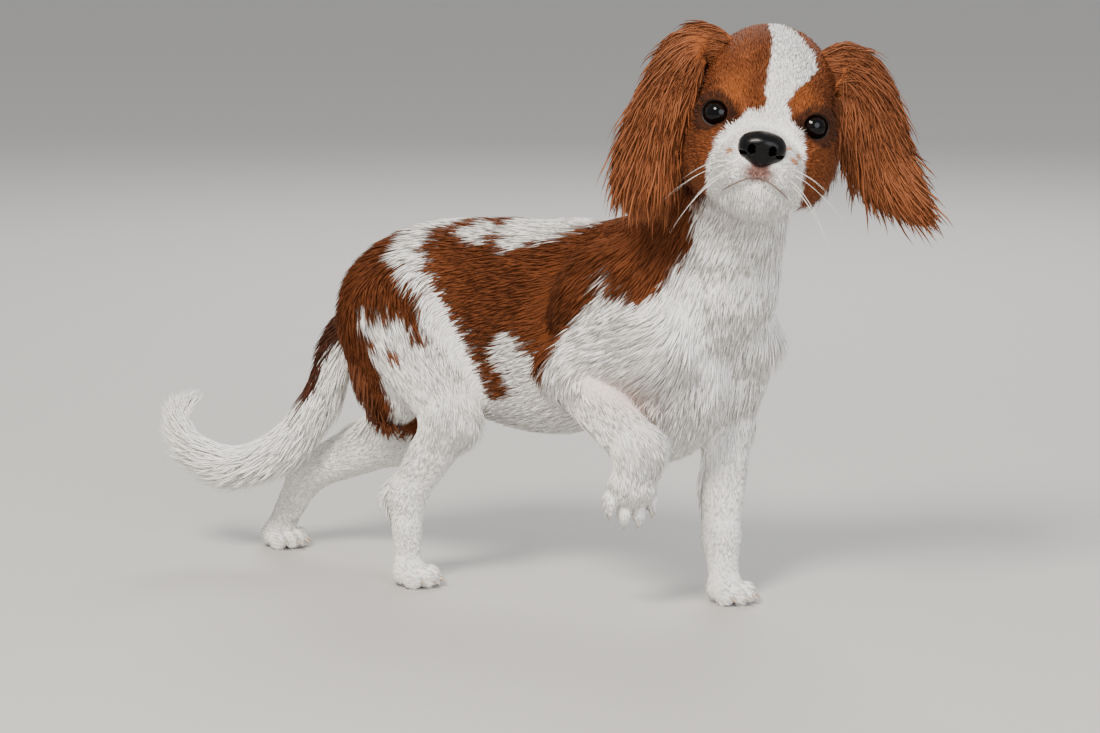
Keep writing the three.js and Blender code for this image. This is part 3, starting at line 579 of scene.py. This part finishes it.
# Lid rims: bare dark skin, damp; claws: smooth pale horn; lips: soft and dull; whiskers: stiff white bristle;
# floor: matt and pale, so that the white coat stands out from it
rimMaterial = material("dampDarkSkin", {"Base Color": rgba("#150e0d"), "Roughness": 0.5})[0]
clawMaterial = material("clawHorn", {"Base Color": rgba("#b9a794"), "Roughness": 0.35})[0]
lipMaterial = material("softLip", {"Base Color": rgba("#6a554c"), "Roughness": 0.75})[0]
whiskerMaterial = material("whiteBristle", {"Base Color": rgba("#f4efe6"), "Roughness": 0.4})[0]
floorMaterial = material("paleFloor", {"Base Color": rgba("#bbb9b4"), "Roughness": 0.85})[0]


# A piece from its points in the dog's millimetre frame and its faces, with the tint, the UV and the iris
# value at each point
def addMesh(name, points, faces, surface, tint=None, uv=None, iris=None):
    faces = np.ascontiguousarray(faces, np.int32)
    mesh = bpy.data.meshes.new(name)
    mesh.vertices.add(len(points))
    mesh.vertices.foreach_set("co", ((points - origin) / 1000).astype(np.float32).ravel())
    mesh.loops.add(faces.size)
    mesh.loops.foreach_set("vertex_index", faces.ravel())
    mesh.polygons.add(len(faces))
    mesh.polygons.foreach_set("loop_start", np.arange(0, faces.size, faces.shape[1], dtype=np.int32))
    mesh.update(calc_edges=True)
    if tint is not None:
        colour = np.concatenate([tint, np.ones((len(tint), 1))], -1)
        layer = mesh.color_attributes.new("coatTint", "FLOAT_COLOR", "POINT")
        layer.data.foreach_set("color", colour.ravel())
    if iris is not None:
        mesh.attributes.new("iris", "FLOAT", "POINT").data.foreach_set("value", iris)
    if uv is not None:
        layer = mesh.uv_layers.new(name="OFBake")
        layer.data.foreach_set("uv", uv[faces.ravel()].astype(np.float32).ravel())
    mesh.shade_smooth()
    mesh.materials.append(surface)
    piece = bpy.data.objects.new(name, mesh)
    bpy.context.scene.collection.objects.link(piece)
    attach(piece, "root")
    return piece


# At each vertex, the mean of the directions of the faces round it, each weighted by its area
def vertexNormals(points, faces):
    a, b, c = points[faces[:, 0]], points[faces[:, 1]], points[faces[:, 2]]
    area = np.cross(b - a, c - a)
    normals = np.zeros_like(points)
    for corner in range(faces.shape[1]):
        for n in range(3):
            normals[:, n] += np.bincount(faces[:, corner], area[:, n], len(points))
    return unit(normals)


# A flattened round shape carried along a line of points: wide and thick are half sizes at each point of it
def taper(line, wide, thick, face, sides, cup=0.0):
    forward = unit(np.gradient(line, axis=0))
    up = unit(face - (face * forward).sum(-1, keepdims=True) * forward)
    across = np.cross(up, forward)
    angle = np.linspace(0, 2 * math.pi, sides, endpoint=False)
    c, s = np.cos(angle)[None, :, None], np.sin(angle)[None, :, None]
    wide, thick = np.asarray(wide)[:, None, None], np.asarray(thick)[:, None, None]
    cup = np.asarray(cup * np.ones(len(line)))[:, None, None]
    points = line[:, None] + across[:, None] * wide * c + up[:, None] * (thick * s + cup * (1 - c * c))
    points = points.reshape(-1, 3)
    ring, side = np.meshgrid(np.arange(len(line) - 1), np.arange(sides), indexing="ij")
    a = (ring * sides + side).ravel()
    b = (ring * sides + (side + 1) % sides).ravel()
    return points, np.stack([a, b, b + sides, a + sides], -1)


# A smooth line through a few places, each coordinate eased by the same cubic between neighbours
def smoothLine(places, count):
    places = np.array(places, float)
    padded = np.concatenate([2 * places[:1] - places[1:2], places, 2 * places[-1:] - places[-2:-1]])
    t = np.linspace(0, len(places) - 1 - 1e-6, count)
    n = t.astype(int)
    f = (t - n)[:, None]
    p0, p1, p2, p3 = (padded[n + k] for k in range(4))
    return 0.5 * (2 * p1 + (p2 - p0) * f + (2 * p0 - 5 * p1 + 4 * p2 - p3) * f ** 2
                  + (3 * p1 - p0 - 3 * p2 + p3) * f ** 3)


skinPoints = np.concatenate([bodyPoints, headPoints])
skinFaces = np.concatenate([bodyFaces, headFaces + len(bodyPoints)])

tailLine = smoothLine([(-132, -2, 172), (-153, -3, 150), (-168, -5, 112), (-188, -13, 80), (-216, -27, 63),
                       (-241, -40, 69), (-252, -46, 86), (-247, -44, 101)], 60)
tailAlong = np.linspace(0, 7, 60)
tailCore = np.interp(tailAlong, range(8), [7, 9, 10.5, 11, 10.5, 8.5, 5.5, 1])
tailPoints, tailFaces = taper(tailLine, tailCore, tailCore, vec(0, 1, 0), 20)
ears = {
    "right": {"line": [(-28, -26, 33), (-27, -41, 40), (-26, -52, 30), (-28, -59, 4), (-31, -64, -20),
                       (-32, -66, -38), (-32, -66, -50)],
              "wide": [11, 12, 14, 18, 19, 17, 8], "face": (0.9, -0.45, 0), "hang": 0.1},
    "left": {"line": [(-30, 28, 31), (-32, 41, 39), (-35, 51, 30), (-38, 60, 11), (-42, 71, -11),
                      (-45, 87, -28), (-46, 99, -38)],
             "wide": [11, 13, 18, 22, 18, 9, 2], "face": (0.9, 0.45, 0), "hang": 0.02},
}
parts = [(skinPoints, skinFaces), (tailPoints, tailFaces)]
for ear in ears.values():
    ear["path"] = smoothLine(ear["line"], 40) @ headTurn.T + head["eyePoint"]
    along = np.linspace(0, 6, 40)
    wide = np.interp(along, range(7), ear["wide"])
    cup = np.interp(along, range(7), [0, 2, 4, 5, 4, 3, 0])
    ear["points"], ear["faces"] = taper(ear["path"], wide, 0 * wide + 2.2, headTurn @ np.array(ear["face"]),
                                        28, cup)
    parts.append((ear["points"], ear["faces"]))
offsets = np.cumsum([0] + [len(p) for p, f in parts])
allPoints = np.concatenate([p for p, f in parts])
allFaces = np.concatenate([f + o for (p, f), o in zip(parts, offsets)])
allNormals = vertexNormals(allPoints, allFaces)


# The tail's colour, dark at the root and further along its upper side, with each point's share of the length
def tailTone(points, normals):
    along = np.linalg.norm(points[:, None] - tailLine[None], axis=-1).argmin(1) / (len(tailLine) - 1)
    above = normals @ unit(vec(-0.8, 0, 0.6)) + 0.15 * ramble(points, 30)
    dark = smoothStep(0.02, -0.02, along - 0.13 - 0.17 * smoothStep(-0.1, 0.5, above))[:, None]
    return tones["white"] * (1 - dark) + tones["deep"] * dark, along


earTint = tones["chestnut"] * 0.55 + tones["bright"] * 0.45
tint = np.concatenate([markingsAndShade(skinPoints), tailTone(tailPoints, allNormals[offsets[1]:offsets[2]])[0],
                       *[np.tile(earTint, (len(e["points"]), 1)) for e in ears.values()]])
# The skin takes the coat's tint darkened by a tenth: painted shade down among the hair
skin = addMesh("skin", allPoints, allFaces, skinMaterial, tint * 0.9)
bpy.context.view_layer.objects.active = skin
skin.select_set(True)
bpy.ops.object.mode_set(mode="EDIT")
bpy.ops.mesh.select_all(action="SELECT")
bpy.ops.uv.smart_project(angle_limit=math.radians(70), island_margin=0.0005)
bpy.ops.object.mode_set(mode="OBJECT")
skin.data.uv_layers[0].name = "OFBake"
cornerUv = np.empty(allFaces.size * 2, np.float32)
skin.data.uv_layers["OFBake"].data.foreach_get("uv", cornerUv)
cornerUv = cornerUv.reshape(len(allFaces), 4, 2)
said("skin unwrapped")


# Random places on the skin: a face drawn by area times density, then a point within it
def sprinkle(chosen, density, count):
    a, b, c, d = (allPoints[allFaces[chosen, n]] for n in range(4))
    area = np.linalg.norm(np.cross(c - a, d - b), axis=-1) / 2
    weight = area * density((a + c) / 2)
    pick = np.searchsorted(np.cumsum(weight), rng.random(count) * weight.sum())
    face = chosen[np.minimum(pick, len(chosen) - 1)]
    s, t = rng.random(count)[:, None], rng.random(count)[:, None]

    def spread(values):
        return (values[:, 0] * (1 - s) * (1 - t) + values[:, 1] * s * (1 - t) + values[:, 2] * s * t
                + values[:, 3] * (1 - s) * t)
    roots = spread(allPoints[allFaces[face]])
    normals = unit(spread(allNormals[allFaces[face]]))
    return roots, normals, spread(cornerUv[face])


# Tufts: each a three-sided taper from its root to a point, that leaves the skin at the lift angle and bends
# back down to lie along the flow: height = sin(lift) * (t - 0.55 t * t) * length; the wave gives long locks
# their curves and the hang lets their ends fall
def tufts(name, roots, normals, flow, length, width, lift, colour, uv, sections=3, wave=0.0, surface=None,
          sink=0.2, shades=(0.86, 1.06), hang=0.0, swingBy=0.1, uneven=0.06):
    count = len(roots)
    one = np.ones(count)
    lift = np.radians(lift)
    length, width, lift, wave, hang = (np.asarray(v) * one for v in (length, width, lift, wave, hang))
    flow = unit(flow - (flow * normals).sum(-1, keepdims=True) * normals)
    swing = rng.normal(0, swingBy, count)[:, None]
    side = np.cross(normals, flow)
    flow = unit(flow + swing * side)
    side = np.cross(normals, flow)
    t = np.linspace(0, 1, sections)[None, :, None]
    lengthIn, widthIn = length[:, None, None], width[:, None, None]
    rise = np.sin(lift)[:, None, None] * (t - 0.55 * t * t) * lengthIn
    phase = rng.random(count)[:, None, None] * 2 * math.pi
    sway = wave[:, None, None] * (np.sin(t * 5.5 + phase) - np.sin(phase)) * t
    cosine, hangIn = np.cos(lift)[:, None, None], hang[:, None, None]
    line = (roots[:, None] - normals[:, None] * sink + flow[:, None] * lengthIn * t * cosine
            + normals[:, None] * rise + side[:, None] * sway - vec(0, 0, 1) * hangIn * lengthIn * t * t)
    profile = np.clip(0.62 + 1.1 * t - 1.72 * t ** 2.2, 0, 1)[:, :-1]
    half = widthIn * 0.5 * profile
    left = line[:, :-1] - side[:, None] * half - normals[:, None] * half * 0.2
    right = line[:, :-1] + side[:, None] * half - normals[:, None] * half * 0.2
    top = line[:, :-1] + normals[:, None] * half * 0.3
    body = np.stack([left, right, top], 2).reshape(count, -1, 3)
    points = np.concatenate([body, line[:, -1:]], 1)
    points[..., 2] = np.maximum(points[..., 2], 0.2)  # hair rests on the floor
    per = points.shape[1]
    faces = [(0, 1, 2)]
    for ring in range(sections - 2):
        a = 3 * ring
        for m, n in ((0, 1), (1, 2), (2, 0)):
            faces += [(a + n, a + m, a + m + 3), (a + n, a + m + 3, a + n + 3)]
    a = 3 * (sections - 2)
    faces += [(a + n, a + m, per - 1) for m, n in ((0, 1), (1, 2), (2, 0))]
    faces = (np.arange(count)[:, None, None] * per + np.array(faces)[:, ::-1]).reshape(-1, 3)
    bright = rng.normal(1, uneven, count)[:, None, None]
    # Painted shade: each tuft darker at its root and a little lighter at its tip, as if shaded down in the
    # coat
    down = np.repeat(np.linspace(*shades, sections)[:-1], 3).tolist() + [shades[1]]
    pale = smoothStep(0.3, 0.8, colour[:, 1])[:, None, None]  # the painted shade at the root is left off pale hair
    paintedRootShade = np.array(down)[None, :, None] * (1 - pale) + pale
    tintHere = np.clip(colour[:, None] * bright * paintedRootShade, 0, 0.96)
    cornerAt = rng.uniform(-0.0015, 0.0015, (1, per, 2))
    uvHere = uv[:, None] + cornerAt
    most = 190000 // (len(faces) // count)
    made = []
    for n, first in enumerate(range(0, count, most)):
        last = min(first + most, count)
        share = len(faces) // count
        made.append(addMesh("%s_%d" % (name, n + 1), points[first:last].reshape(-1, 3),
                            faces[first * share:last * share] - first * per, surface or coatMaterial,
                            tintHere[first:last].reshape(-1, 3), uvHere[first:last].reshape(-1, 2)))
    said("%s, %d tufts, %d faces" % (name, count, len(faces)))
    return made


# The lie of the coat: the flows of the masses near a point, each weighted by how near its surface is
flowPieces = trunkPieces + legPieces


def lieOfBody(points):
    total = np.zeros_like(points)
    for piece in flowPieces:
        total += np.exp(-np.maximum(piece["value"](points), -12) / 6)[:, None] * piece["flow"]
    return unit(total)


# On the head hair runs back from the nose, then down the cheeks and the back of the skull
def lieOfHead(points):
    local = toHead(points)
    away = unit(local - vec(38, 0, -14))
    fall = smoothStep(0, -50, local[:, 0])[:, None] + smoothStep(-10, -45, local[:, 2])[:, None]
    flow = away + fall * vec(-0.3, 0, -0.9)
    for eye in eyes.values():
        fromEye = local - toHead(eye["centre"][None])
        near = np.exp(-np.maximum(np.linalg.norm(fromEye, axis=-1) - 11, 0) / 3.5)[:, None]
        flow = flow + 2.5 * near * unit(fromEye)
    return flow @ headTurn.T


def counted(count):
    return count


# One kind of hair from its style: places drawn on the chosen faces, less those that the test drops, each with
# the length there varied by chance, a width that grows with the length, and a lift drawn evenly
def grow(name, chosen, density, style, lengthOf, flowOf, test=None, raised=None, tone=1.0, **more):
    roots, normals, uv = sprinkle(chosen, density, counted(style["count"]))
    if test is not None:
        keep = test(roots)
        roots, normals, uv = roots[keep], normals[keep], uv[keep]
    length = lengthOf(roots) * rng.uniform(*style["vary"], len(roots))
    lift = rng.uniform(*style["lift"], len(roots))
    if raised is not None:
        lift = lift + raised(roots)
    width = style["width"][0] + style["width"][1] * length
    tufts(name, roots, normals, flowOf(roots), length, width, lift, markingsAndShade(roots) * tone, uv, **more)


bodyChosen = np.arange(len(bodyFaces))
headChosen = len(bodyFaces) + np.arange(len(headFaces))
centres = allPoints[allFaces].mean(1)
bodyChosen = bodyChosen[seamSide(centres[bodyChosen]) < 3]
headChosen = headChosen[seamSide(centres[headChosen]) > -1]


# Length of the short coat over the body: shortest on the feet, longer on throat, chest, belly and thighs
def coatLength(points):
    x, y, z = points.T
    low = 4.5 + 11.5 * smoothStep(55, 175, z)
    frill = np.exp(-((x - 122) / 42) ** 2 - ((z - 175) / 60) ** 2)
    belly = np.exp(-((z - 100) / 18) ** 2) * (x > -70) * (x < 90) * (np.abs(y) < 40)
    return low + 8 * frill + 5 * belly


bodyHair = {"count": 56000, "vary": (0.75, 1.2), "width": (0.7, 0.035), "lift": (9, 19)}
grow("bodyCoat", bodyChosen, lambda p: 0.8 + 1.2 * smoothStep(120, 20, p[:, 2]), bodyHair, coatLength,
     lieOfBody)


# True where hair may root: off the nose, outside the lids' opening and off the mouth line
def clearOfFeatures(roots):
    keep = noseField(roots) > 0.6
    for eye in eyes.values():
        keep &= lidOpening((roots - eye["centre"]) @ eye["axes"], 1.2) >= 1
    return keep & (fromLine(roots, lipLine) > 0.25)


# On the face hair is shortest round the nose and grows with the distance from it
def faceLength(roots):
    return np.clip(2.2 + 0.075 * np.linalg.norm(toHead(roots) - vec(34, 0, -14), axis=-1), 2.4, 8)


faceHair = {"count": 27000, "vary": (0.8, 1.2), "width": (0.34, 0.1), "lift": (13, 24)}
grow("faceCoat", headChosen, lambda p: 0.12 + 1.5 * smoothStep(-30, 12, toHead(p)[:, 0]), faceHair,
     faceLength, lieOfHead, clearOfFeatures, sink=0.05, shades=(0.92, 1.04), uneven=0.045)

skullHair = {"count": 13000, "vary": (0.8, 1.2), "width": (0.5, 0.09), "lift": (9, 18), "crownLift": 12}
grow("skullCoat", headChosen, lambda p: smoothStep(5, -25, toHead(p)[:, 0]) + 0.02, skullHair,
     lambda p: np.clip(5 - 0.06 * toHead(p)[:, 0], 4, 10), lieOfHead, clearOfFeatures,
     lambda p: skullHair["crownLift"] * smoothStep(30, 52, toHead(p)[:, 2]), sink=0.1)


# Height above the mouth line in the head's frame
def overLip(local):
    return local[:, 2] - mouth["top"] + mouth["drop"] * np.abs(local[:, 1] / mouth["halfWidth"]) ** 1.5


local = toHead(centres[headChosen])
chinHair = {"count": 1500, "length": 8.5, "vary": (0.5, 1.3), "width": (0.55, 0), "lift": (16, 44)}
under = headChosen[(overLip(local) < -2.5) & (np.abs(local[:, 1]) < 24) & (local[:, 0] > -22)]
grow("chinHair", under, lambda p: smoothStep(-20, 8, toHead(p)[:, 0]) + 0.05, chinHair,
     lambda p: chinHair["length"], lambda p: headTurn @ vec(-0.25, 0, -1), sections=4, wave=0.5,
     surface=longMaterial, hang=0.25, swingBy=0.25)

# Flews: short hair that hangs over the mouth line and breaks it up
flewHair = {"count": 700, "length": 6.5, "vary": (0.5, 1.2), "width": (0.55, 0), "lift": (8, 22)}
above = headChosen[(overLip(local) > 0.5) & (overLip(local) < 5) & (np.abs(local[:, 1]) < 30)
                   & (local[:, 0] > -12)]
grow("flewHair", above, lambda p: 0.35 + smoothStep(6, 20, np.abs(toHead(p)[:, 1])), flewHair,
     lambda p: flewHair["length"], lambda p: headTurn @ vec(-0.3, 0, -1), sections=4, wave=0.2,
     surface=longMaterial, swingBy=0.22)

# Nape: longer hair from the back of the skull down over the neck
napeHair = {"count": 2600, "length": 19, "vary": (0.6, 1.2), "width": (1.3, 0), "lift": (10, 34)}
nape = headChosen[(local[:, 0] < -48) & (local[:, 2] < 26)]
grow("napeHair", nape, lambda p: 0.3 + smoothStep(20, -20, toHead(p)[:, 2]), napeHair,
     lambda p: napeHair["length"], lambda p: vec(-0.45, 0.1, -1), sections=5, wave=0.8, surface=longMaterial,
     hang=0.2)

# A ruff behind each cheek, under the ear, its tint darkened by a fifth: painted shade under the ear
ruffHair = {"count": 2400, "length": 14, "vary": (0.6, 1.2), "width": (0.9, 0), "lift": (24, 58)}
behind = headChosen[(local[:, 0] > -52) & (local[:, 0] < -18) & (np.abs(local[:, 1]) > 32)
                    & (local[:, 2] > -46) & (local[:, 2] < 22)]
grow("cheekRuff", behind, lambda p: np.ones(len(p)), ruffHair, lambda p: ruffHair["length"],
     lambda p: lieOfHead(p) + headTurn @ vec(0.4, 0, -1.2), tone=0.8, sections=4, wave=0.8,
     surface=longMaterial)

# Ears: long wavy locks that run out along the leaf and hang past its end
earHair = {"count": 4900, "length": (15, 30), "vary": (0.7, 1.15), "stray": 0.06, "strayLength": 1.45}
for number, (label, ear) in enumerate(ears.items()):
    first = len(skinFaces) + len(tailFaces) + number * len(ear["faces"])
    chosen = np.arange(first, first + len(ear["faces"]))
    roots, normals, uv = sprinkle(chosen, lambda p: np.ones(len(p)), counted(earHair["count"]))
    nearest = np.linalg.norm(roots[:, None] - ear["path"][None, ::3], axis=-1).argmin(1)
    flow = unit(np.gradient(ear["path"], axis=0))[::3][nearest]
    outward = unit(roots - ear["path"][::3][nearest])
    along = nearest / nearest.max()
    length = np.interp(along, (0, 1), earHair["length"]) * rng.uniform(*earHair["vary"], len(roots))
    length = length * (1 - 0.35 * smoothStep(0.75, 1, along))
    blendOf = rng.random((len(roots), 1))
    # Lighter and darker clumps of lock colour: partly the hair's own tone, partly painted shade between
    # clumps and painted highlight on them
    clump = 0.5 + 0.5 * ramble(roots, 11, 4.0)[:, None]
    colour = (tones["deep"] * (1 - clump) + tones["bright"] * clump) * 0.5 + 0.5 * (
        tones["chestnut"] * (1 - blendOf) + tones["bright"] * blendOf)
    colour = colour * (0.85 + 0.3 * along[:, None])
    spread = 0.25 * (smoothStep(0.1, 0.35, along) - smoothStep(0.6, 0.95, along))[:, None]
    stray = rng.random(len(roots)) < earHair["stray"]
    length = length * np.where(stray, earHair["strayLength"], 1)
    lift = rng.uniform(3, 13, len(roots)) * (0.5 + 0.5 * smoothStep(0.2, 0.45, along)) + 9 * stray
    tufts("earLocks_" + label, roots, normals, flow + spread * outward, length, 0.75 + 0.025 * length, lift,
          colour, uv, sections=5, wave=1.3, surface=longMaterial,
          hang=ear["hang"] + 0.4 * smoothStep(0.35, 0.1, along))

# Tail: a plume of long locks, longest under the middle
tailHair = {"count": 3600, "length": 17, "middle": 13, "vary": (0.75, 1.1), "lift": (5, 18)}
chosen = len(skinFaces) + np.arange(len(tailFaces))
roots, normals, uv = sprinkle(chosen, lambda p: np.ones(len(p)), counted(tailHair["count"]))
colour, along = tailTone(roots, normals)
flow = unit(np.gradient(tailLine, axis=0))[(along * (len(tailLine) - 1)).astype(int)]
length = tailHair["length"] + tailHair["middle"] * np.sin(np.clip(along, 0, 1) * math.pi) ** 0.7
length = length * rng.uniform(*tailHair["vary"], len(roots))
length = np.minimum(length, 7 + (1.02 - along) * 150)
tufts("tailLocks", roots, normals, flow, length, 1.0 + 0.03 * length,
      rng.uniform(*tailHair["lift"], len(roots)), colour, uv, sections=5, wave=1.0, surface=longMaterial)

# Feathering: longer locks on the chest, the backs of the legs and thighs and along the belly
feathers = [
    {"centre": (122, 4, 190), "radii": (34, 42, 62), "length": 24, "lift": 16, "share": 0.42},
    {"centre": (-122, -22, 118), "radii": (18, 24, 42), "length": 24, "lift": 24, "share": 0.14},
    {"centre": (-140, 20, 120), "radii": (20, 22, 40), "length": 22, "lift": 24, "share": 0.10},
    {"centre": (-94, -46, 62), "radii": (12, 14, 20), "length": 14, "lift": 22, "share": 0.05},
    {"centre": (94, 34, 88), "radii": (14, 18, 36), "length": 20, "lift": 24, "share": 0.09},
    {"centre": (62, -56, 122), "radii": (30, 16, 18), "length": 15, "lift": 20, "share": 0.07},
    {"centre": (20, 4, 100), "radii": (70, 30, 14), "length": 15, "lift": 14, "share": 0.14},
]
featherCount = 4400
for number, feather in enumerate(feathers):
    out = (centres[bodyChosen] - np.array(feather["centre"])) / np.array(feather["radii"])
    inside = bodyChosen[np.linalg.norm(out, axis=-1) < 1]
    if len(inside) == 0:
        continue
    count = int(counted(featherCount) * feather["share"])
    roots, normals, uv = sprinkle(inside, lambda p: np.ones(len(p)), count)
    length = feather["length"] * rng.uniform(0.7, 1.15, count)
    lift = feather["lift"] * rng.uniform(0.4, 1.0, count)
    tufts("feathering_%d" % (number + 1), roots, normals, lieOfBody(roots) + vec(0, 0, -0.4), length,
          1.0 + 0.03 * length, lift, markingsAndShade(roots), uv, sections=5, wave=0.9, surface=longMaterial)

# Eyeballs and lid rims: a sphere of rings round the gaze axis, and a rim along the lids' opening
eyeball = {"rings": 48, "around": 64, "bulge": 0.55}
for label, eye in eyes.items():
    radius = head["eyeRadius"]
    rings, steps = eyeball["rings"], eyeball["around"]
    polar = np.linspace(0, math.pi, rings + 1)[:, None]
    angle = np.linspace(0, 2 * math.pi, steps, endpoint=False)[None]
    out = radius + eyeball["bulge"] * np.exp(-(polar / 0.55) ** 4)  # the clear front stands out a little
    local = np.stack([out * np.cos(polar) + 0 * angle, out * np.sin(polar) * np.cos(angle),
                      out * np.sin(polar) * np.sin(angle)], -1).reshape(-1, 3)
    points = local @ eye["axes"].T + eye["centre"]
    ring, step = np.meshgrid(np.arange(rings), np.arange(steps), indexing="ij")
    a, b = (ring * steps + step).ravel(), (ring * steps + (step + 1) % steps).ravel()
    faces = np.stack([a, b, b + steps, a + steps], -1)[:, ::-1]
    iris = np.clip((np.repeat(polar, steps, 1) / 1.05).ravel(), 0, 1).astype(np.float32)
    ball = addMesh("eyeball_" + label, points, faces, eyeMaterial, iris=iris)
    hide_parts("eye_" + label)
    around = np.linspace(0, 2 * math.pi, 73)[:, None]
    y, z = (head["lidWidth"] + 0.2) * np.cos(around), (head["lidHeight"] + 0.2) * np.sin(around)
    x = np.sqrt(np.maximum((radius + eyeball["bulge"]) ** 2 - y * y - z * z, 0))
    line = np.concatenate([x, y, z], -1) @ eye["axes"].T + eye["centre"]
    lidPoints, lidFaces = taper(line, np.full(73, 0.75), np.full(73, 0.6), eye["axes"][:, 0], 10)
    lid = addMesh("lidRim_" + label, lidPoints, lidFaces, rimMaterial)


# The nose: its masses, less two nostrils with a slit beside each, and a groove down the middle
def noseSkin(points):
    field = noseField(points)
    local = toHead(points)
    for side in both:
        q = (local - vec(38, side * 6.4, -17.5)) @ turn(side * 12, 0, side * 24)
        hole = np.linalg.norm(q / vec(6.5, 2.3, 3.0), axis=-1)
        slit = np.linalg.norm((local - vec(33, side * 11.2, -20)) / vec(7, 3.2, 1.1), axis=-1)
        field = np.maximum(field, -(hole - 1) * 2.3)
        field = np.maximum(field, -(slit - 1) * 1.1)
    field = np.maximum(field, 0.55 - np.hypot(local[..., 1], np.minimum(local[..., 0] - 39.2, 0))
                       - 4 * smoothStep(-15, -12, local[..., 2]))
    return field


nosePoints, noseFaces = netSurface(noseSkin, inHead(29, 0, -16) - 22, inHead(29, 0, -16) + 22, 0.6)
nose = addMesh("noseLeather", nosePoints, noseFaces, noseMaterial)
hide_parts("nose")
shown = slice(5, 36)  # the mouth line stops short of its corners
lipWide = 0.06 + 0.44 * np.sqrt(np.clip(1 - np.abs(lipY[shown] / 20.5) ** 3, 0, 1))
lipPoints, lipFaces = taper(lipLine[shown] - headTurn @ vec(0.7, 0, 0), lipWide, 0 * lipWide + 0.5,
                            headTurn @ vec(1, 0, 0), 10)
lips = addMesh("lips", lipPoints, lipFaces, lipMaterial)

# Whiskers: fine bristles that sweep out and down from the lips
whisker = {"perSide": 8, "reach": 24, "radius": 0.17}
whiskerParts, total = [], 0
for side in both:
    for n in range(whisker["perSide"]):
        y, z = side * (18 + 1.1 * (n % 4)), -26 - 3.2 * (n // 2)
        root = onFace(np.array([[60, y, z]]), np.array([[0, y, z]]))[0]
        aim = headTurn @ unit(vec(-0.25 - 0.15 * (n % 3), side * 1.0, -0.1 - 0.1 * n))
        reach = whisker["reach"] + 4 * (n % 4)
        t = np.linspace(0, 1, 14)[:, None]
        line = root + aim * reach * t - vec(0, 0, 1) * (9 + n) * t ** 2
        r = whisker["radius"] * (1.05 - t[:, 0])
        p, f = taper(line, r, r, vec(0, 0.1, 1), 5)
        whiskerParts.append((p, f + total))
        total += len(p)
whiskers = addMesh("whiskers", np.concatenate([p for p, f in whiskerParts]),
                   np.concatenate([f for p, f in whiskerParts]), whiskerMaterial)

# Claws: small curved cones from the front of each toe
claw = {"length": 5.0, "droop": 2.6, "radius": 1.25}
clawParts, total = [], 0
for leg in legs.values():
    frameTurn, place, size = pawFrame(leg)
    for toe in paw["toes"]:
        start = vec(toeReach(toe) + 0.17, paw["spread"] * toe, 0.34) * size
        t = np.linspace(0, 1, 8)[:, None]
        line = start + vec(claw["length"], 0, 0) * t - vec(0, 0, claw["droop"]) * t ** 2
        line = line @ frameTurn.T + place
        r = claw["radius"] * (1.02 - t[:, 0]) ** 0.7
        p, f = taper(line, r, r * 1.2, frameTurn @ vec(0, 0, 1), 8)
        clawParts.append((p, f + total))
        total += len(p)
claws = addMesh("claws", np.concatenate([p for p, f in clawParts]),
                np.concatenate([f for p, f in clawParts]), clawMaterial)

flesh = ["head", "neck", "torso", "ear_left", "ear_right", "tail_base", "tail_middle", "tail_tip"]
flesh += [name + "_" + part for name in legs for part in ("upper", "lower", "paw")]
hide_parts(*flesh)
said("features")

bpy.ops.mesh.primitive_plane_add(size=60, location=(0, 0, 0))
floor = bpy.context.object
floor.name = "floor"
floor.data.materials.append(floorMaterial)


# A round soft lamp that faces the place it lights: tilted by its height and turned by its bearing from there
def lamp(name, place, aim, size, watts, tone):
    light = bpy.data.lights.new(name, "AREA")
    light.shape, light.size, light.energy, light.color = "DISK", size, watts, linear(tone)
    made = bpy.data.objects.new(name, light)
    made.location = place
    away = np.array(place) - np.array(aim)
    made.rotation_euler = (math.atan2(math.hypot(away[0], away[1]), away[2]), 0,
                           math.atan2(away[1], away[0]) + math.pi / 2)
    bpy.context.scene.collection.objects.link(made)


lamp("key", (0.2, -2.0, 2.1), (0.05, 0, 0.2), 0.9, 112, "#fff6ea")
lamp("fill", (2.3, -1.3, 1.0), (0, 0, 0.15), 1.8, 44, "#f2f5ff")
lamp("rim", (-0.8, 1.8, 1.6), (0, 0, 0.2), 1.2, 34, "#ffffff")
world = bpy.data.worlds.new("softStudio")
world.use_nodes = True
world.node_tree.nodes["Background"].inputs["Color"].default_value = (0.82, 0.83, 0.86, 1)
world.node_tree.nodes["Background"].inputs["Strength"].default_value = 0.75
bpy.context.scene.world = world

# The camera: a long lens, round from the dog's right side by the azimuth and a little above it
view = {"azimuth": 30.0, "elevation": 9.0, "distance": 2200.0, "target": vec(0, 0, 140), "pixelFocus": 3476.0}
a, e = math.radians(view["azimuth"]), math.radians(view["elevation"])
outward = vec(math.sin(a) * math.cos(e), -math.cos(a) * math.cos(e), math.sin(e))
eyePlace = view["target"] + view["distance"] * outward
cameraData = bpy.data.cameras.new("camera")
cameraData.sensor_width = 36
cameraData.lens = view["pixelFocus"] / 1100 * 36
camera = bpy.data.objects.new("camera", cameraData)
camera.location = (eyePlace - origin) / 1000
camera.rotation_euler = (math.pi / 2 - e, 0, a)
bpy.context.scene.collection.objects.link(camera)
bpy.context.scene.camera = camera

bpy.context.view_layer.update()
said("ready")
